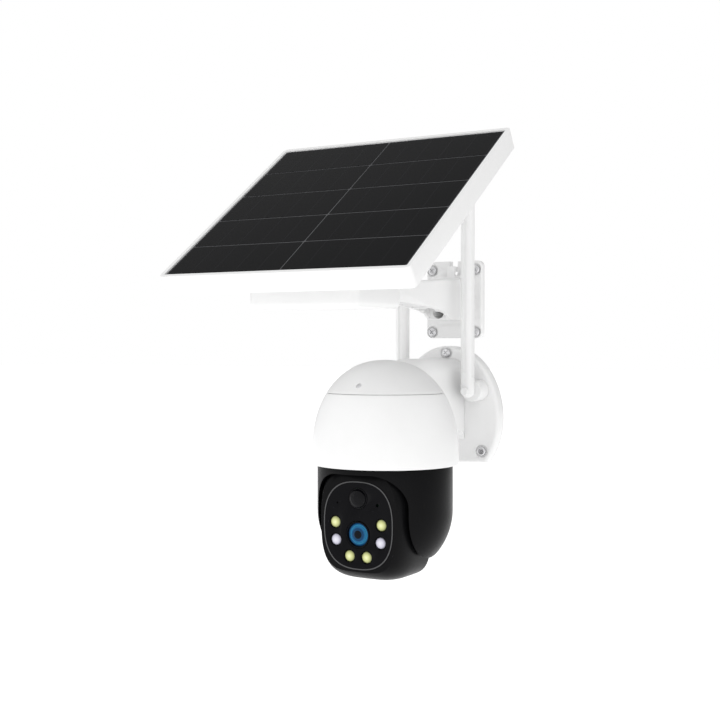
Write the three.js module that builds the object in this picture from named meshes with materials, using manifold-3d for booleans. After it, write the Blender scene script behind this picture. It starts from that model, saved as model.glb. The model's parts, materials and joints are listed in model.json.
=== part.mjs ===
// Solar-powered security camera for a wall: a pan and tilt camera on a flanged arm with two paddle
// antennas, and above it, on its own wall plate, a battery box on an arm with a tilting panel.
// Millimetres. +X is to the right seen from the front, -Y is out from the wall and +Z is up.
// The wall is the plane y = 0, and the origin is the middle of the camera flange's back face.
import * as THREE from "three";
import { mergeVertices } from "three/addons/utils/BufferGeometryUtils.js";
import Module from "manifold-3d";

const wasm = await Module();
wasm.setup();

// ---- Driving dimensions ----
const GAP = 0.3; // left between pieces that touch
const SHELL = 2.5; // wall of the moulded housings
const DEGREE = Math.PI / 180;

const FLANGE = { depth: 12, halfWidth: 50.6, centreZ: -11, up: 64, down: 60, bottomZ: -52.7, web: 4, boss: 9 };
const FLANGE_SCREWS = { top: [0, 47], left: [-34.5, -39.8], right: [34.5, -39.8] };
const SCREW = { hole: 2.6, seat: 5.5, sink: 1.5, head: 4, tipY: -0.5 }; // in a sunk seat
const ARM = { halfWidth: 18, top: 42, bottom: -20, topCorner: 14, bottomCorner: 8, flare: 10, wall: 3 };
const ARM_END = { ramp: -85, y: -99, slope: 0.32 }; // the arm's top slopes down to meet the dome
const GROMMET = { y: -46, bore: 2.5, neck: 5, collar: 7, height: 8 };
const ARM_DUCT = { halfWidth: 8, bottom: -12, top: 8 };
const ANTENNA = { x: 31.8, pivotZ: 14, y: -35, radius: 6, length: 201, hubRadius: 9.5, hubFront: -28, pin: 2.5 };

const DOME = { y: -125, radius: 60, centreZ: -36, crownZ: 41.7, power: 2.2, rimZ: -42.4, seamZ: 15 };
const CAP_WALL = 4;
const CHASSIS = { top: -33.5, thickness: 3, radius: 57.2, post: 3 };
const LEDGE = { radius: 54.5, height: 2 }; // the chassis is held up against it
const MAIN_BOARD = { z: 0, thickness: 1.6, radius: 47, postRadius: 44, bore: 8 };
const BOARD_BLOCKS = [
  { x: [-22, -6], y: [-34, -18], height: 2 },
  { x: [8, 20], y: [-30, -22], height: 3 },
  { x: [-34, -26], y: [-6, 10], height: 4 },
  { x: [20, 32], y: [4, 12], height: 5 },
];

const GEAR = { module: 1.2, wheelTeeth: 40, pinionTeeth: 10, z: -33.2, height: 5 };
const TURNTABLE = { bottom: -43.5, top: -41, bore: 6, hubRadius: 11, hubTop: -26, bearing: 19 };
const PAN_MOTOR = { radius: 12, bottom: -24, top: -8, shaft: 1.6, earReach: 17.5, earHalfWidth: 3.5 };

const PAN = { radius: 55, topZ: -40.5, tiltZ: -79, slotHalfWidth: 41, archZ: -47, archCorner: 26, rearEdgeZ: -71 };
const HEAD = { radius: 54.5, halfWidth: 39.5, power: 3.8, face: 43.7, top: 31, rearRadius: 46, hubRadius: 34 };
const CHIN_POWER = 3.4; // how square the head's section is below the tilt axis
const FACEPLATE = { halfWidth: 31, halfHeight: 34.5, centre: -8.5, power: 2.55, thickness: 2.2 };
const LENS = { height: -15.6, ring: 10.5, glass: 9 };
const PIR = { height: 12.7, radius: 8 };
const LAMPS = { radius: 4.7, places: [[20.7, -6.9], [20, -20.8], [7.7, -32.9]] };
const SENSOR_HOLES = [[17.3, 8.3, 1.2], [-18.6, 8.4, 0.8]];
const BOARD_FRONT = 39.5; // the light board's front, ahead of the tilt axis
const TILT_STUB = { radius: 7, end: 49, bore: 3.3, shaft: 3, shaftHead: 6, boss: 9 };
const CARD = { halfWidth: 12, y: [-22, -10], depth: 1.4 }; // seat of the card's cover, on the head's underside
const RESET = { y: 2, radius: 2.2, collar: 3.6, stem: 1.5 };

const SOLAR_X = 5; // middle of the solar unit
const PLATE = { halfWidth: 27, bottom: 60, top: 129, thickness: 7, corner: 5, screwX: 21.25, screwZ: [65.5, 121] };
const PAD = { halfWidth: 15, bottom: 72, top: 116, corner: 3, frontY: -10 }; // raised on the plate
const NOTCH = { width: 8, depth: 14 };
const LOCK = { z: 82, hole: 2.1, seat: 5.2, head: 3.6 }; // the screw that locks the arm in the plate
const SOLAR_ARM = { width: 22, top: 113, bottom: 76, tipBottom: 89, wall: 2.5 };
const RIBS = { firstY: -54, pitch: 16, thickness: 2 }; // across the arm's open underside
const FOOT = { halfWidth: 14, bottom: 73, top: 115, thickness: 3.5 };
const HOOK = { halfWidth: 3.4, bottom: 119.4, top: 124 };
const BOX = {
  x: -20, halfWidth: 49, front: -221, back: -149, bottom: 82, split: 100.4, top: 104.4, wall: 1.6, corner: 7,
};
const CELL = { x: -41, radius: 9.1, length: 65 };
const CHARGE_BOARD = { x: [-66, -44], y: [-212, -158], z: 87.6, thickness: 1.6 };
const GLAND = { x: -52, z: 92, hole: 5.3, neck: 5, collar: 7.5, bore: 2.2 };
const HINGE = { y: -190, z: 120, bolt: 2.5, knuckle: 8, lug: 5, lugX: 14, earX: 8.75 };
const PANEL = { width: 201, length: 197, border: 3.5, depth: 16, tilt: 35 * DEGREE, centreY: -206, centreZ: 161.5 };
const LAMINATE = 3.2;
const BACK = { front: -7, thickness: 1.8 }; // the back sheet's front, below the glass
const JUNCTION_BOX = { halfWidth: 22, y: [52, 80], depth: 5 };
const BRACKET = { halfWidth: 30, halfLength: 26, thickness: 3, earFoot: 20 };

// ---- Finishes ----
const finish = (color, roughness, metalness = 0) =>
  new THREE.MeshStandardMaterial({ color, roughness, metalness });
const FINISH = {
  white: finish(0xf1f1ef, 0.35),
  black: finish(0x1d1d1f, 0.35),
  gloss: finish(0x0b0b0c, 0.12),
  rubber: finish(0x2a2a2a, 0.8),
  steel: finish(0xb9bbbe, 0.3, 1),
  nylon: finish(0xe6e2d8, 0.5),
  board: finish(0x1f5b34, 0.5),
  cell: finish(0x3f6fa8, 0.4),
  glass: finish(0x17191c, 0.08),
  lens: finish(0x2f6fa5, 0.05),
  lamp: finish(0xdfe39a, 0.2),
};

// ---- Solids ----

// A closed geometry as a solid, whichever way round its faces were wound.
function solid(geometry) {
  const bare = geometry.clone();
  bare.deleteAttribute("normal");
  bare.deleteAttribute("uv");
  const merged = mergeVertices(bare, 1e-4);
  const faces = [];
  for (let i = 0; i < merged.index.count; i += 3) {
    const [a, b, c] = merged.index.array.subarray(i, i + 3);
    if (a !== b && b !== c && c !== a) faces.push(a, b, c);
  }
  const vertProperties = merged.attributes.position.array;
  const build = (order) =>
    new wasm.Manifold(new wasm.Mesh({ numProp: 3, vertProperties, triVerts: new Uint32Array(order) }));
  const made = build(faces);
  return made.volume() > 0 ? made : build(faces.reverse());
}

// A block between two values on each axis.
const block = ([x0, x1], [y0, y1], [z0, z1]) =>
  solid(
    new THREE.BoxGeometry(x1 - x0, y1 - y0, z1 - z0).translate((x0 + x1) / 2, (y0 + y1) / 2, (z0 + z1) / 2),
  );

// Cylinders along each axis, between two values on it, at a place on the other two.
const upright = (radius, z0, z1, x, y, sides = 16) =>
  solid(
    new THREE.CylinderGeometry(radius, radius, z1 - z0, sides).rotateX(Math.PI / 2).translate(x, y, (z0 + z1) / 2),
  );
const outward = (radius, y0, y1, x, z, sides = 16) =>
  solid(new THREE.CylinderGeometry(radius, radius, y1 - y0, sides).translate(x, (y0 + y1) / 2, z));
const across = (radius, x0, x1, y, z, sides = 16) =>
  solid(
    new THREE.CylinderGeometry(radius, radius, x1 - x0, sides).rotateZ(Math.PI / 2).translate((x0 + x1) / 2, y, z),
  );

// Turned solids from a profile of [radius, height] points: about the upright, outward and cross axes.
const lathe = (profile, sides) =>
  new THREE.LatheGeometry(profile.map(([r, h]) => new THREE.Vector2(Math.max(r, 0), h)), sides);
const turnedUp = (profile, x = 0, y = 0, sides = 32) =>
  solid(lathe(profile, sides).rotateX(Math.PI / 2).translate(x, y, 0));
const turnedOut = (profile, x, z, sides = 12) =>
  solid(lathe(profile, sides).rotateX(Math.PI).translate(x, 0, z));

// Extrusions of a shape: drawn in (x, z) along Y, in (y, z) along X, and in (x, y) along Z.
const extruded = (shape, depth, curveSegments) =>
  new THREE.ExtrudeGeometry(shape, { depth, curveSegments, bevelEnabled: false });
const alongY = (shape, y0, y1, steps = 3) =>
  solid(extruded(shape, y1 - y0, steps).rotateX(Math.PI / 2).translate(0, y1, 0));
const YZ_TO_WORLD = new THREE.Matrix4().makeBasis(
  new THREE.Vector3(0, 1, 0),
  new THREE.Vector3(0, 0, 1),
  new THREE.Vector3(1, 0, 0),
);
const alongX = (shape, x0, x1, steps = 3) =>
  solid(extruded(shape, x1 - x0, steps).applyMatrix4(YZ_TO_WORLD).translate(x0, 0, 0));
const alongZ = (shape, z0, z1, steps = 2) => solid(extruded(shape, z1 - z0, steps).translate(0, 0, z0));

const outline = (points) => new THREE.Shape(points.map(([a, b]) => new THREE.Vector2(a, b)));

function roundedRect([x0, x1], [y0, y1], lower, upper = lower) {
  const shape = new THREE.Shape();
  shape.moveTo(x0 + lower, y0);
  shape.absarc(x1 - lower, y0 + lower, lower, -Math.PI / 2, 0, false);
  shape.absarc(x1 - upper, y1 - upper, upper, 0, Math.PI / 2, false);
  shape.absarc(x0 + upper, y1 - upper, upper, Math.PI / 2, Math.PI, false);
  shape.absarc(x0 + lower, y0 + lower, lower, Math.PI, Math.PI * 1.5, false);
  return shape;
}

// |x / a| ^ power + |(y - centre) / b| ^ power = 1
function superellipse(a, b, centre, power, steps = 28) {
  const points = [];
  for (let i = 0; i < steps; i++) {
    const turn = (2 * Math.PI * i) / steps;
    const bend = (value) => Math.sign(value) * Math.abs(value) ** (2 / power);
    points.push([a * bend(Math.cos(turn)), centre + b * bend(Math.sin(turn))]);
  }
  return outline(points);
}

const joined = (...parts) => parts.reduce((whole, part) => whole.add(part));
const cut = (whole, ...parts) => parts.reduce((rest, part) => rest.subtract(part), whole);

// Adds a solid to a group as one named mesh.
function piece(group, name, shape, material) {
  const { numProp, vertProperties, triVerts } = shape.getMesh();
  const geometry = new THREE.BufferGeometry();
  const positions = new Float32Array((vertProperties.length / numProp) * 3);
  for (let i = 0; i < positions.length / 3; i++) {
    positions.set(vertProperties.subarray(i * numProp, i * numProp + 3), i * 3);
  }
  geometry.setAttribute("position", new THREE.BufferAttribute(positions, 3));
  geometry.setIndex(new THREE.BufferAttribute(new Uint32Array(triVerts), 1));
  geometry.computeVertexNormals();
  const mesh = new THREE.Mesh(geometry, material);
  mesh.name = name;
  group.add(mesh);
}

// A pan-head screw that points into the wall, with its seat facing out at y = seat.
function wallScrew(x, z, seat, radius = SCREW.head) {
  const [rim, shoulder, top] = [radius * 0.8, 1.4 - seat, 2.6 - seat];
  const head = turnedOut([[0, -seat], [radius, -seat], [radius, shoulder], [rim, top], [0, top]], x, z);
  return joined(head, outward(radius / 2, seat - 0.1, SCREW.tipY, x, z, 8));
}

// ---- Camera bracket: flange, arm, screws, antennas' hubs ----

// The flange's egg-shaped outline with its flat foot, drawn in by an inset.
function flangeOutline(inset) {
  const { halfWidth, centreZ, up, down, bottomZ } = FLANGE;
  const [wide, low] = [halfWidth - inset, down - inset];
  const foot = Math.asin((centreZ - bottomZ - inset) / low);
  const shape = new THREE.Shape();
  shape.absellipse(0, centreZ, wide, up - inset, 0, Math.PI, false, 0);
  shape.absellipse(0, centreZ, wide, low, Math.PI, Math.PI + foot, false, 0);
  shape.absellipse(0, centreZ, wide, low, 2 * Math.PI - foot, 2 * Math.PI, false, 0);
  return shape;
}

const antennaSides = { left: -ANTENNA.x, right: ANTENNA.x };

// The back is hollow apart from a rim, a middle pad behind the arm and a boss round each screw.
function flange() {
  const front = FLANGE.web - FLANGE.depth;
  const hollow = cut(
    alongY(flangeOutline(FLANGE.web), front, 1, 8),
    block([-ARM.halfWidth, ARM.halfWidth], [-FLANGE.depth, 2], [-80, 80]),
    ...Object.values(FLANGE_SCREWS).map(([x, z]) => outward(FLANGE.boss, front - 1, 2, x, z, 10)),
  );
  const screws = Object.values(FLANGE_SCREWS).flatMap(([x, z]) => [
    outward(SCREW.hole, -FLANGE.depth - 1, 1, x, z, 8),
    outward(SCREW.seat, -FLANGE.depth - 1, SCREW.sink - FLANGE.depth, x, z, 14),
  ]);
  return cut(alongY(flangeOutline(0), -FLANGE.depth, 0, 10), hollow, ...screws);
}

// The dome's outline between two heights, drawn in by an inset, as [radius, height] points.
function domeProfile(from, to, inset, steps = 5) {
  const height = DOME.crownZ - DOME.centreZ - inset;
  const share = (z) => Math.min(Math.max((z - DOME.centreZ) / height, 0), 1);
  const [first, last] = [from, to].map((z) => Math.asin(share(z) ** (DOME.power / 2)));
  const points = [];
  for (let i = 0; i <= steps; i++) {
    const turn = first + ((last - first) * i) / steps;
    const radius = (DOME.radius - inset) * Math.cos(turn) ** (2 / DOME.power);
    points.push([radius, DOME.centreZ + height * Math.sin(turn) ** (2 / DOME.power)]);
  }
  return points;
}
const domeRadius = (z, inset = 0) => domeProfile(z, z, inset, 1)[0][0];

// The arm: a rounded box section that sweeps down to the flange and is cut round the dome.
function arm() {
  const { halfWidth, top, bottom, topCorner, bottomCorner, flare, wall: skin } = ARM;
  const wall = -FLANGE.depth - GAP;
  const section = roundedRect([-halfWidth, halfWidth], [bottom - flare, top], bottomCorner, topCorner);
  const under = new THREE.Shape();
  under.moveTo(DOME.y - 1, bottom - 40);
  under.lineTo(wall - 1, bottom - 40);
  under.lineTo(wall - 1, bottom - flare);
  under.quadraticCurveTo(wall - 6, bottom, wall - 26, bottom);
  under.lineTo(DOME.y - 1, bottom);
  const { ramp, y: end, slope } = ARM_END;
  const over = outline([[ramp, top], [end - 1, top - slope * (ramp - end + 1)], [end - 1, top + 9], [ramp, top + 9]]);
  const clear = 2 * GAP;
  const dome = domeProfile(DOME.centreZ, DOME.crownZ + clear, -clear, 16);
  const inside = roundedRect([skin - halfWidth, halfWidth - skin], [bottom + skin, top - skin], 5, 11);
  return cut(
    alongY(section, end, wall),
    alongX(under, -halfWidth - 1, halfWidth + 1),
    alongX(over, -halfWidth - 1, halfWidth + 1),
    turnedUp([[0, DOME.rimZ], [DOME.radius + clear, DOME.rimZ], ...dome], 0, DOME.y, 48),
    alongY(inside, DOME.y, 0),
    upright(GROMMET.neck + GAP, bottom - 2, bottom + skin + 1, 0, GROMMET.y, 20),
  );
}

// A rubber bush in the arm's underside, open for the leads.
const grommet = () => {
  const { y, bore, neck, collar, height } = GROMMET;
  const [foot, seat, tip] = [ARM.bottom - 2, ARM.bottom - GAP, ARM.bottom + height];
  const profile = [[bore, foot], [collar, foot], [collar, seat], [neck, seat], [neck, tip], [bore, tip], [bore, foot]];
  return turnedUp(profile, 0, y, 14);
};

// The fixed half of an antenna's pivot: a round hub with a pin whose lip keeps the antenna on.
const antennaHub = (x) => {
  const { hubRadius, hubFront, pin, y, radius, pivotZ } = ANTENNA;
  const tip = radius - y + 1.6;
  const profile = [
    [0, FLANGE.depth + GAP], [hubRadius, FLANGE.depth + GAP], [hubRadius, -hubFront], [pin, -hubFront],
    [pin, tip - 1.2], [pin + 1.3, tip - 1.2], [pin + 0.6, tip], [0, tip],
  ];
  return turnedOut(profile, x, pivotZ, 16);
};

function antenna(x) {
  const { radius, length, pivotZ, y, pin } = ANTENNA;
  const profile = [];
  for (let i = 0; i <= 4; i++) {
    const turn = (i * Math.PI) / 8;
    profile.push([radius * Math.sin(turn), pivotZ - radius * Math.cos(turn)]);
  }
  const top = pivotZ - radius + length;
  profile.push([radius, top - 3], [radius - 1, top - 0.8], [radius - 3, top], [0, top]);
  const flats = [-1, 1].map((side) => {
    const face = x + side * (radius - 1);
    return block(side < 0 ? [face - 5, face] : [face, face + 5], [y - 9, y + 9], [pivotZ + 12, top - 12]);
  });
  return cut(
    turnedUp(profile, x, y, 12),
    outward(pin + GAP, y - radius - 1, y + radius + 1, x, pivotZ, 12),
    ...flats,
  );
}

// ---- Upper housing, cap and what they hold ----

const aboutDome = (profile, sides) => turnedUp(profile, 0, DOME.y, sides);

function upperHousing() {
  const { radius, rimZ, centreZ, seamZ } = DOME;
  const top = seamZ - GAP / 2;
  const rebate = top - 1.6;
  const shell = aboutDome([
    [radius - SHELL, rimZ], [radius, rimZ], ...domeProfile(centreZ, top, 0),
    [domeRadius(top) - 1.2, top], [domeRadius(top) - 1.2, rebate],
    ...domeProfile(rebate, centreZ, SHELL), [radius - SHELL, rimZ],
  ]);
  const [low, high] = [CHASSIS.top + GAP, CHASSIS.top + GAP + LEDGE.height];
  const ledge = aboutDome([
    [LEDGE.radius, low], [radius - 1, low], [radius - 1, high], [LEDGE.radius, high], [LEDGE.radius, low],
  ]);
  const { halfWidth, bottom, top: ductTop } = ARM_DUCT;
  const rear = DOME.y + radius;
  return cut(joined(shell, ledge), block([-halfWidth, halfWidth], [rear - 20, rear + 1], [bottom, ductTop]));
}

// The cap closes the housing above the seam, with a spigot that enters it.
function topCap() {
  const { seamZ, crownZ } = DOME;
  const rim = seamZ + GAP / 2;
  return aboutDome([
    ...domeProfile(crownZ, seamZ - 4, CAP_WALL),
    ...domeProfile(seamZ - 4, rim, SHELL + GAP, 2),
    ...domeProfile(rim, crownZ, 0),
  ]);
}

function capSeal() {
  const outer = domeRadius(DOME.seamZ) - 1.5;
  const [low, high] = [DOME.seamZ - 1.4, DOME.seamZ - 0.2];
  return aboutDome([[outer - 0.7, low], [outer, low], [outer, high], [outer - 0.7, high], [outer - 0.7, low]], 32);
}

const gearDistance = (GEAR.module * (GEAR.wheelTeeth + GEAR.pinionTeeth)) / 2;
const motorEars = [-1, 1].map((side) => DOME.y + side * PAN_MOTOR.earReach);

const boardPosts = [90, 210, 330].map((angle) => [
  MAIN_BOARD.postRadius * Math.cos(angle * DEGREE),
  DOME.y + MAIN_BOARD.postRadius * Math.sin(angle * DEGREE),
]);

// The plate across the housing: it carries the pan bearing, the motor's posts and the board's posts.
function chassis() {
  const { top, thickness, radius, post } = CHASSIS;
  const plate = upright(radius, top - thickness, top, 0, DOME.y, 32);
  const motorPosts = motorEars.map((y) => upright(post, top - 0.1, PAN_MOTOR.bottom - GAP, gearDistance, y, 8));
  const posts = boardPosts.map(([x, y]) => upright(post, top - 0.1, MAIN_BOARD.z - GAP, x, y, 8));
  const bore = upright(TURNTABLE.hubRadius + GAP, top - 9, top + 1, 0, DOME.y, 24);
  return cut(joined(plate, ...motorPosts, ...posts), bore);
}

function panMotor() {
  const { radius, bottom, top, shaft, earReach, earHalfWidth } = PAN_MOTOR;
  const earEnd = earReach + 4;
  return joined(
    upright(radius, bottom, top, gearDistance, DOME.y, 20),
    block(
      [gearDistance - earHalfWidth, gearDistance + earHalfWidth],
      [DOME.y - earEnd, DOME.y + earEnd],
      [bottom, bottom + 1.5],
    ),
    upright(shaft, GEAR.z, bottom + 0.1, gearDistance, DOME.y, 8),
  );
}

// A spur gear with straight-flanked teeth, turned so that a tooth (or a space) faces +X.
function gear(teeth, bore, x, spaceFirst) {
  const { module, z, height } = GEAR;
  const pitch = (module * teeth) / 2;
  const step = (2 * Math.PI) / teeth;
  const points = [];
  const corners = [[-0.31, -1.15], [-0.1, 0.75], [0.1, 0.75], [0.31, -1.15]]; // [share of a step, modules out]
  for (let i = 0; i < teeth; i++) {
    const middle = (i + (spaceFirst ? 0.5 : 0)) * step;
    for (const [share, rise] of corners) {
      const radius = pitch + rise * module;
      points.push([x + radius * Math.cos(middle + share * step), DOME.y + radius * Math.sin(middle + share * step)]);
    }
  }
  const sides = bore > 5 ? 24 : 10;
  return cut(alongZ(outline(points), z, z + height), upright(bore, z - 1, z + height + 1, x, DOME.y, sides));
}

function mainBoard() {
  const { z, thickness, radius, bore } = MAIN_BOARD;
  const top = z + thickness;
  const parts = BOARD_BLOCKS.map(({ x, y, height }) =>
    block(x, [DOME.y + y[0], DOME.y + y[1]], [top - 0.1, top + height]),
  );
  return cut(joined(upright(radius, z, top, 0, DOME.y, 28), ...parts), upright(bore, z - 1, top + 1, 0, DOME.y, 20));
}

// ---- Pan housing: the black fork below the skirt ----

// The outside of the fork: a drum with a round bottom, drawn in by an inset.
function forkBody(inset) {
  const radius = PAN.radius - inset;
  const profile = [];
  for (let i = 0; i <= 6; i++) {
    const turn = (i * Math.PI) / 12;
    profile.push([radius * Math.sin(turn), PAN.tiltZ - radius * Math.cos(turn)]);
  }
  profile.push([radius, PAN.topZ + inset * 2], [0, PAN.topZ + inset * 2]);
  return aboutDome(profile, 36);
}

// A drum shell with an arched slot for the head, and a flat wall on each side of the slot.
function panHousing() {
  const { slotHalfWidth: slot, archZ, archCorner, rearEdgeZ, radius, tiltZ } = PAN;
  const [front, rear, floor] = [DOME.y - 80, DOME.y + 80, tiltZ - 80];
  const cheeks = [[slot, slot + SHELL], [-slot - SHELL, -slot]];
  const walls = cheeks.map((sides) => block(sides, [front, rear], [floor, archZ]));
  const boss = across(TILT_STUB.boss, TILT_STUB.end + 1.5, radius, DOME.y, tiltZ);
  const body = forkBody(0);
  const shell = joined(cut(body, forkBody(SHELL)), joined(...walls, boss).intersect(body));
  return cut(
    shell,
    alongY(roundedRect([-slot, slot], [floor, archZ], 1, archCorner), front, DOME.y + 0.1),
    block([-slot, slot], [DOME.y, rear], [floor, rearEdgeZ]),
    across(TILT_STUB.radius + GAP, -slot - 4, slot + 4, DOME.y, tiltZ),
    across(TILT_STUB.bore, slot, radius - SHELL, DOME.y, tiltZ, 16),
  );
}

// The disc under the chassis that carries the fork, with a hollow hub up through the bearing.
const turntable = () => {
  const radius = PAN.radius - SHELL - GAP;
  const { bottom, top, bore, hubRadius, hubTop } = TURNTABLE;
  return aboutDome([
    [bore, bottom], [radius, bottom], [radius, top], [hubRadius, top], [hubRadius, hubTop], [bore, hubTop],
    [bore, bottom],
  ]);
};

const panBearing = () => {
  const [low, high] = [TURNTABLE.top + GAP, CHASSIS.top - CHASSIS.thickness - GAP];
  const [inner, outer] = [TURNTABLE.hubRadius + GAP, TURNTABLE.bearing];
  return aboutDome([[inner, low], [outer, low], [outer, high], [inner, high], [inner, low]], 24);
};

// A pin fixed in the fork's right cheek: the tilt motor turns the head about it.
const tiltShaft = () => {
  const { shaft, shaftHead, end } = TILT_STUB;
  return joined(
    across(shaft, 36, end + 1.2, DOME.y, PAN.tiltZ, 16),
    across(shaftHead, end + GAP, end + 1.2, DOME.y, PAN.tiltZ, 20),
  );
};

// ---- Head: drawn about the tilt axis, looking along -Y ----

// A barrel about the X axis with rounded shoulders. Its section is round above the axis, and below it a
// superellipse of a power that makes it squarer than a circle where that is over 2.
function barrel(radius, inset, lowerPower = 2) {
  const halfWidth = HEAD.halfWidth - inset;
  const steps = 12;
  const profile = [];
  for (let i = 0; i <= steps; i++) {
    const turn = Math.PI * (i / steps - 0.5);
    const bend = (value) => Math.sign(value) * Math.abs(value) ** (2 / HEAD.power);
    profile.push([(radius - inset) * bend(Math.cos(turn)), halfWidth * bend(Math.sin(turn))]);
  }
  const round = lathe(profile, 24).rotateZ(-Math.PI / 2);
  const places = round.attributes.position;
  for (let i = 0; i < places.count; i++) {
    const [y, z] = [places.getY(i), places.getZ(i)];
    const reach = Math.hypot(y, z) || 1;
    const power = z < 0 ? lowerPower : 2;
    const share = (Math.abs(y / reach) ** power + Math.abs(z / reach) ** power) ** (-1 / power);
    places.setXYZ(i, places.getX(i), y * share, z * share);
  }
  return solid(round);
}

const chin = (inset) => barrel(HEAD.radius, inset, CHIN_POWER);

// What lies in front of a plane that leans back by an angle and passes the tilt axis by an inset.
const inFront = (lean, inset) => block([-60, 60], [-90, -inset], [-90, 90]).rotate([lean, 0, 0]);

// Full radius in front and below, less behind, and a small hub on top, so that it clears the fork.
function headBody(inset) {
  const sides = [-60, 60];
  return joined(
    chin(inset).intersect(inFront(10, inset)),
    barrel(HEAD.rearRadius, inset).intersect(inFront(45, inset)),
    barrel(HEAD.hubRadius, inset),
  ).intersect(block(sides, [inset - HEAD.face, 60], [-60, HEAD.top - inset]));
}

const onFace = (shape, depth, back) => alongY(shape, -HEAD.face - depth, -HEAD.face + back);
const faceOutline = (outset, steps) => {
  const { halfWidth, halfHeight, centre, power } = FACEPLATE;
  return superellipse(halfWidth + outset, halfHeight + outset, centre, power, steps);
};

function headShell() {
  const opening = faceOutline(GAP, 28);
  const { radius, end, bore } = TILT_STUB;
  const stubs = joined(across(radius, HEAD.halfWidth - 3, end, 0, 0), across(radius, -end, 3 - HEAD.halfWidth, 0, 0));
  const cardSeat = block([-CARD.halfWidth, CARD.halfWidth], CARD.y, [-60, -40]);
  return cut(
    joined(cut(headBody(0), headBody(SHELL)), stubs),
    onFace(opening, 1, SHELL + 0.5),
    cardSeat.subtract(chin(CARD.depth)),
    across(bore, -end - 1, end + 1, 0, 0, 16),
    upright(RESET.radius + GAP, -60, -40, 0, RESET.y, 16),
  );
}

const cardCover = () => {
  const inside = [CARD.y[0] + GAP, CARD.y[1] - GAP];
  const cover = block([GAP - CARD.halfWidth, CARD.halfWidth - GAP], inside, [-60, -40]);
  return cover.intersect(chin(0)).subtract(chin(CARD.depth - GAP));
};

const resetButton = () => {
  const { y, radius, collar, stem } = RESET;
  const skin = -Math.sqrt(HEAD.radius ** 2 - y ** 2);
  const inside = skin + SHELL + 3 * GAP; // clear of the shell's flat facets
  return turnedUp(
    [
      [0, skin - 0.3], [radius, skin - 0.3], [radius, inside], [collar, inside],
      [collar, inside + 1], [stem, inside + 1], [stem, inside + 4], [0, inside + 4],
    ],
    0, y, 16,
  );
};

const lampPlaces = LAMPS.places.flatMap(([x, z]) => [[-x, z], [x, z]]);

function faceplate() {
  const through = (radius, x, z, sides) => outward(radius, -50, -30, x, z, sides);
  return cut(
    onFace(faceOutline(0, 28), 0, FACEPLATE.thickness),
    through(LENS.ring + 2 * GAP, 0, LENS.height, 20),
    through(PIR.radius + 2 * GAP, 0, PIR.height, 20),
    ...lampPlaces.map(([x, z]) => through(LAMPS.radius + 2 * GAP, x, z, 12)),
    ...SENSOR_HOLES.map(([x, z, radius]) => through(radius, x, z, 6)),
  );
}

function lightBoard() {
  return cut(
    alongY(faceOutline(-3, 20), -BOARD_FRONT, 1.6 - BOARD_FRONT),
    outward(LENS.ring + 2 * GAP, -50, -30, 0, LENS.height, 18),
  );
}

// Each lamp stands on the light board and ends just below the faceplate's front.
const lamp = (x, z) => {
  const [foot, rim, tip] = [BOARD_FRONT + GAP, HEAD.face - 1.2, HEAD.face - 0.2];
  return turnedOut([[0, foot], [LAMPS.radius, foot], [LAMPS.radius, rim], [LAMPS.radius * 0.7, tip], [0, tip]], x, z);
};

const lensBarrel = () => {
  const [rear, front, inner] = [22, HEAD.face + 1, LENS.glass + GAP];
  return turnedOut(
    [[0, rear], [LENS.ring, rear], [LENS.ring, front], [inner, front], [inner, front - 4], [0, front - 4]],
    0, LENS.height, 20,
  );
};

const lensGlass = () => {
  const foot = HEAD.face - 3 + GAP;
  const profile = [[0, foot], [LENS.glass, foot], [LENS.glass, foot + 1.2], [5.5, foot + 2.7], [0, foot + 3.2]];
  return turnedOut(profile, 0, LENS.height, 16);
};

const pirDome = () => {
  const foot = BOARD_FRONT + GAP;
  const profile = [[0, foot], [PIR.radius, foot]];
  for (let i = 0; i <= 4; i++) {
    const turn = (i * Math.PI) / 8;
    profile.push([PIR.radius * Math.cos(turn), HEAD.face + 4 * Math.sin(turn)]);
  }
  return turnedOut(profile, 0, PIR.height, 18);
};

const imageModule = () =>
  joined(
    block([-13, 13], [-21.7, -20], [LENS.height - 13, LENS.height + 13]),
    block([-7, 7], [-20.1, -14], [LENS.height - 7, LENS.height + 7]),
  );

const tiltMotor = () => cut(across(12, 16, 35, 0, 0, 20), across(TILT_STUB.bore, 30, 36, 0, 0, 16));

// ---- Solar unit: wall plate, arm, battery box ----

const plateScrews = PLATE.screwZ.flatMap((z) => [-1, 1].map((side) => [SOLAR_X + side * PLATE.screwX, z]));

function wallPlate() {
  const { halfWidth, bottom, top, thickness, corner } = PLATE;
  const sides = [SOLAR_X - halfWidth, SOLAR_X + halfWidth];
  const pad = roundedRect([SOLAR_X - PAD.halfWidth, SOLAR_X + PAD.halfWidth], [PAD.bottom, PAD.top], PAD.corner);
  const half = NOTCH.width / 2;
  const notch = roundedRect([SOLAR_X - half, SOLAR_X + half], [top - NOTCH.depth, top + 8], half - 0.1);
  return cut(
    joined(alongY(roundedRect(sides, [bottom, top], corner), -thickness, 0), alongY(pad, PAD.frontY, 0.1 - thickness)),
    alongY(notch, -20, 1),
    outward(LOCK.hole, -20, 1, SOLAR_X, LOCK.z, 12),
    ...plateScrews.map(([x, z]) => outward(SCREW.hole, -20, 1, x, z, 8)),
    ...plateScrews.map(([x, z]) => outward(SCREW.seat - GAP, -20, SCREW.sink - thickness, x, z, 12)),
  );
}

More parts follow.
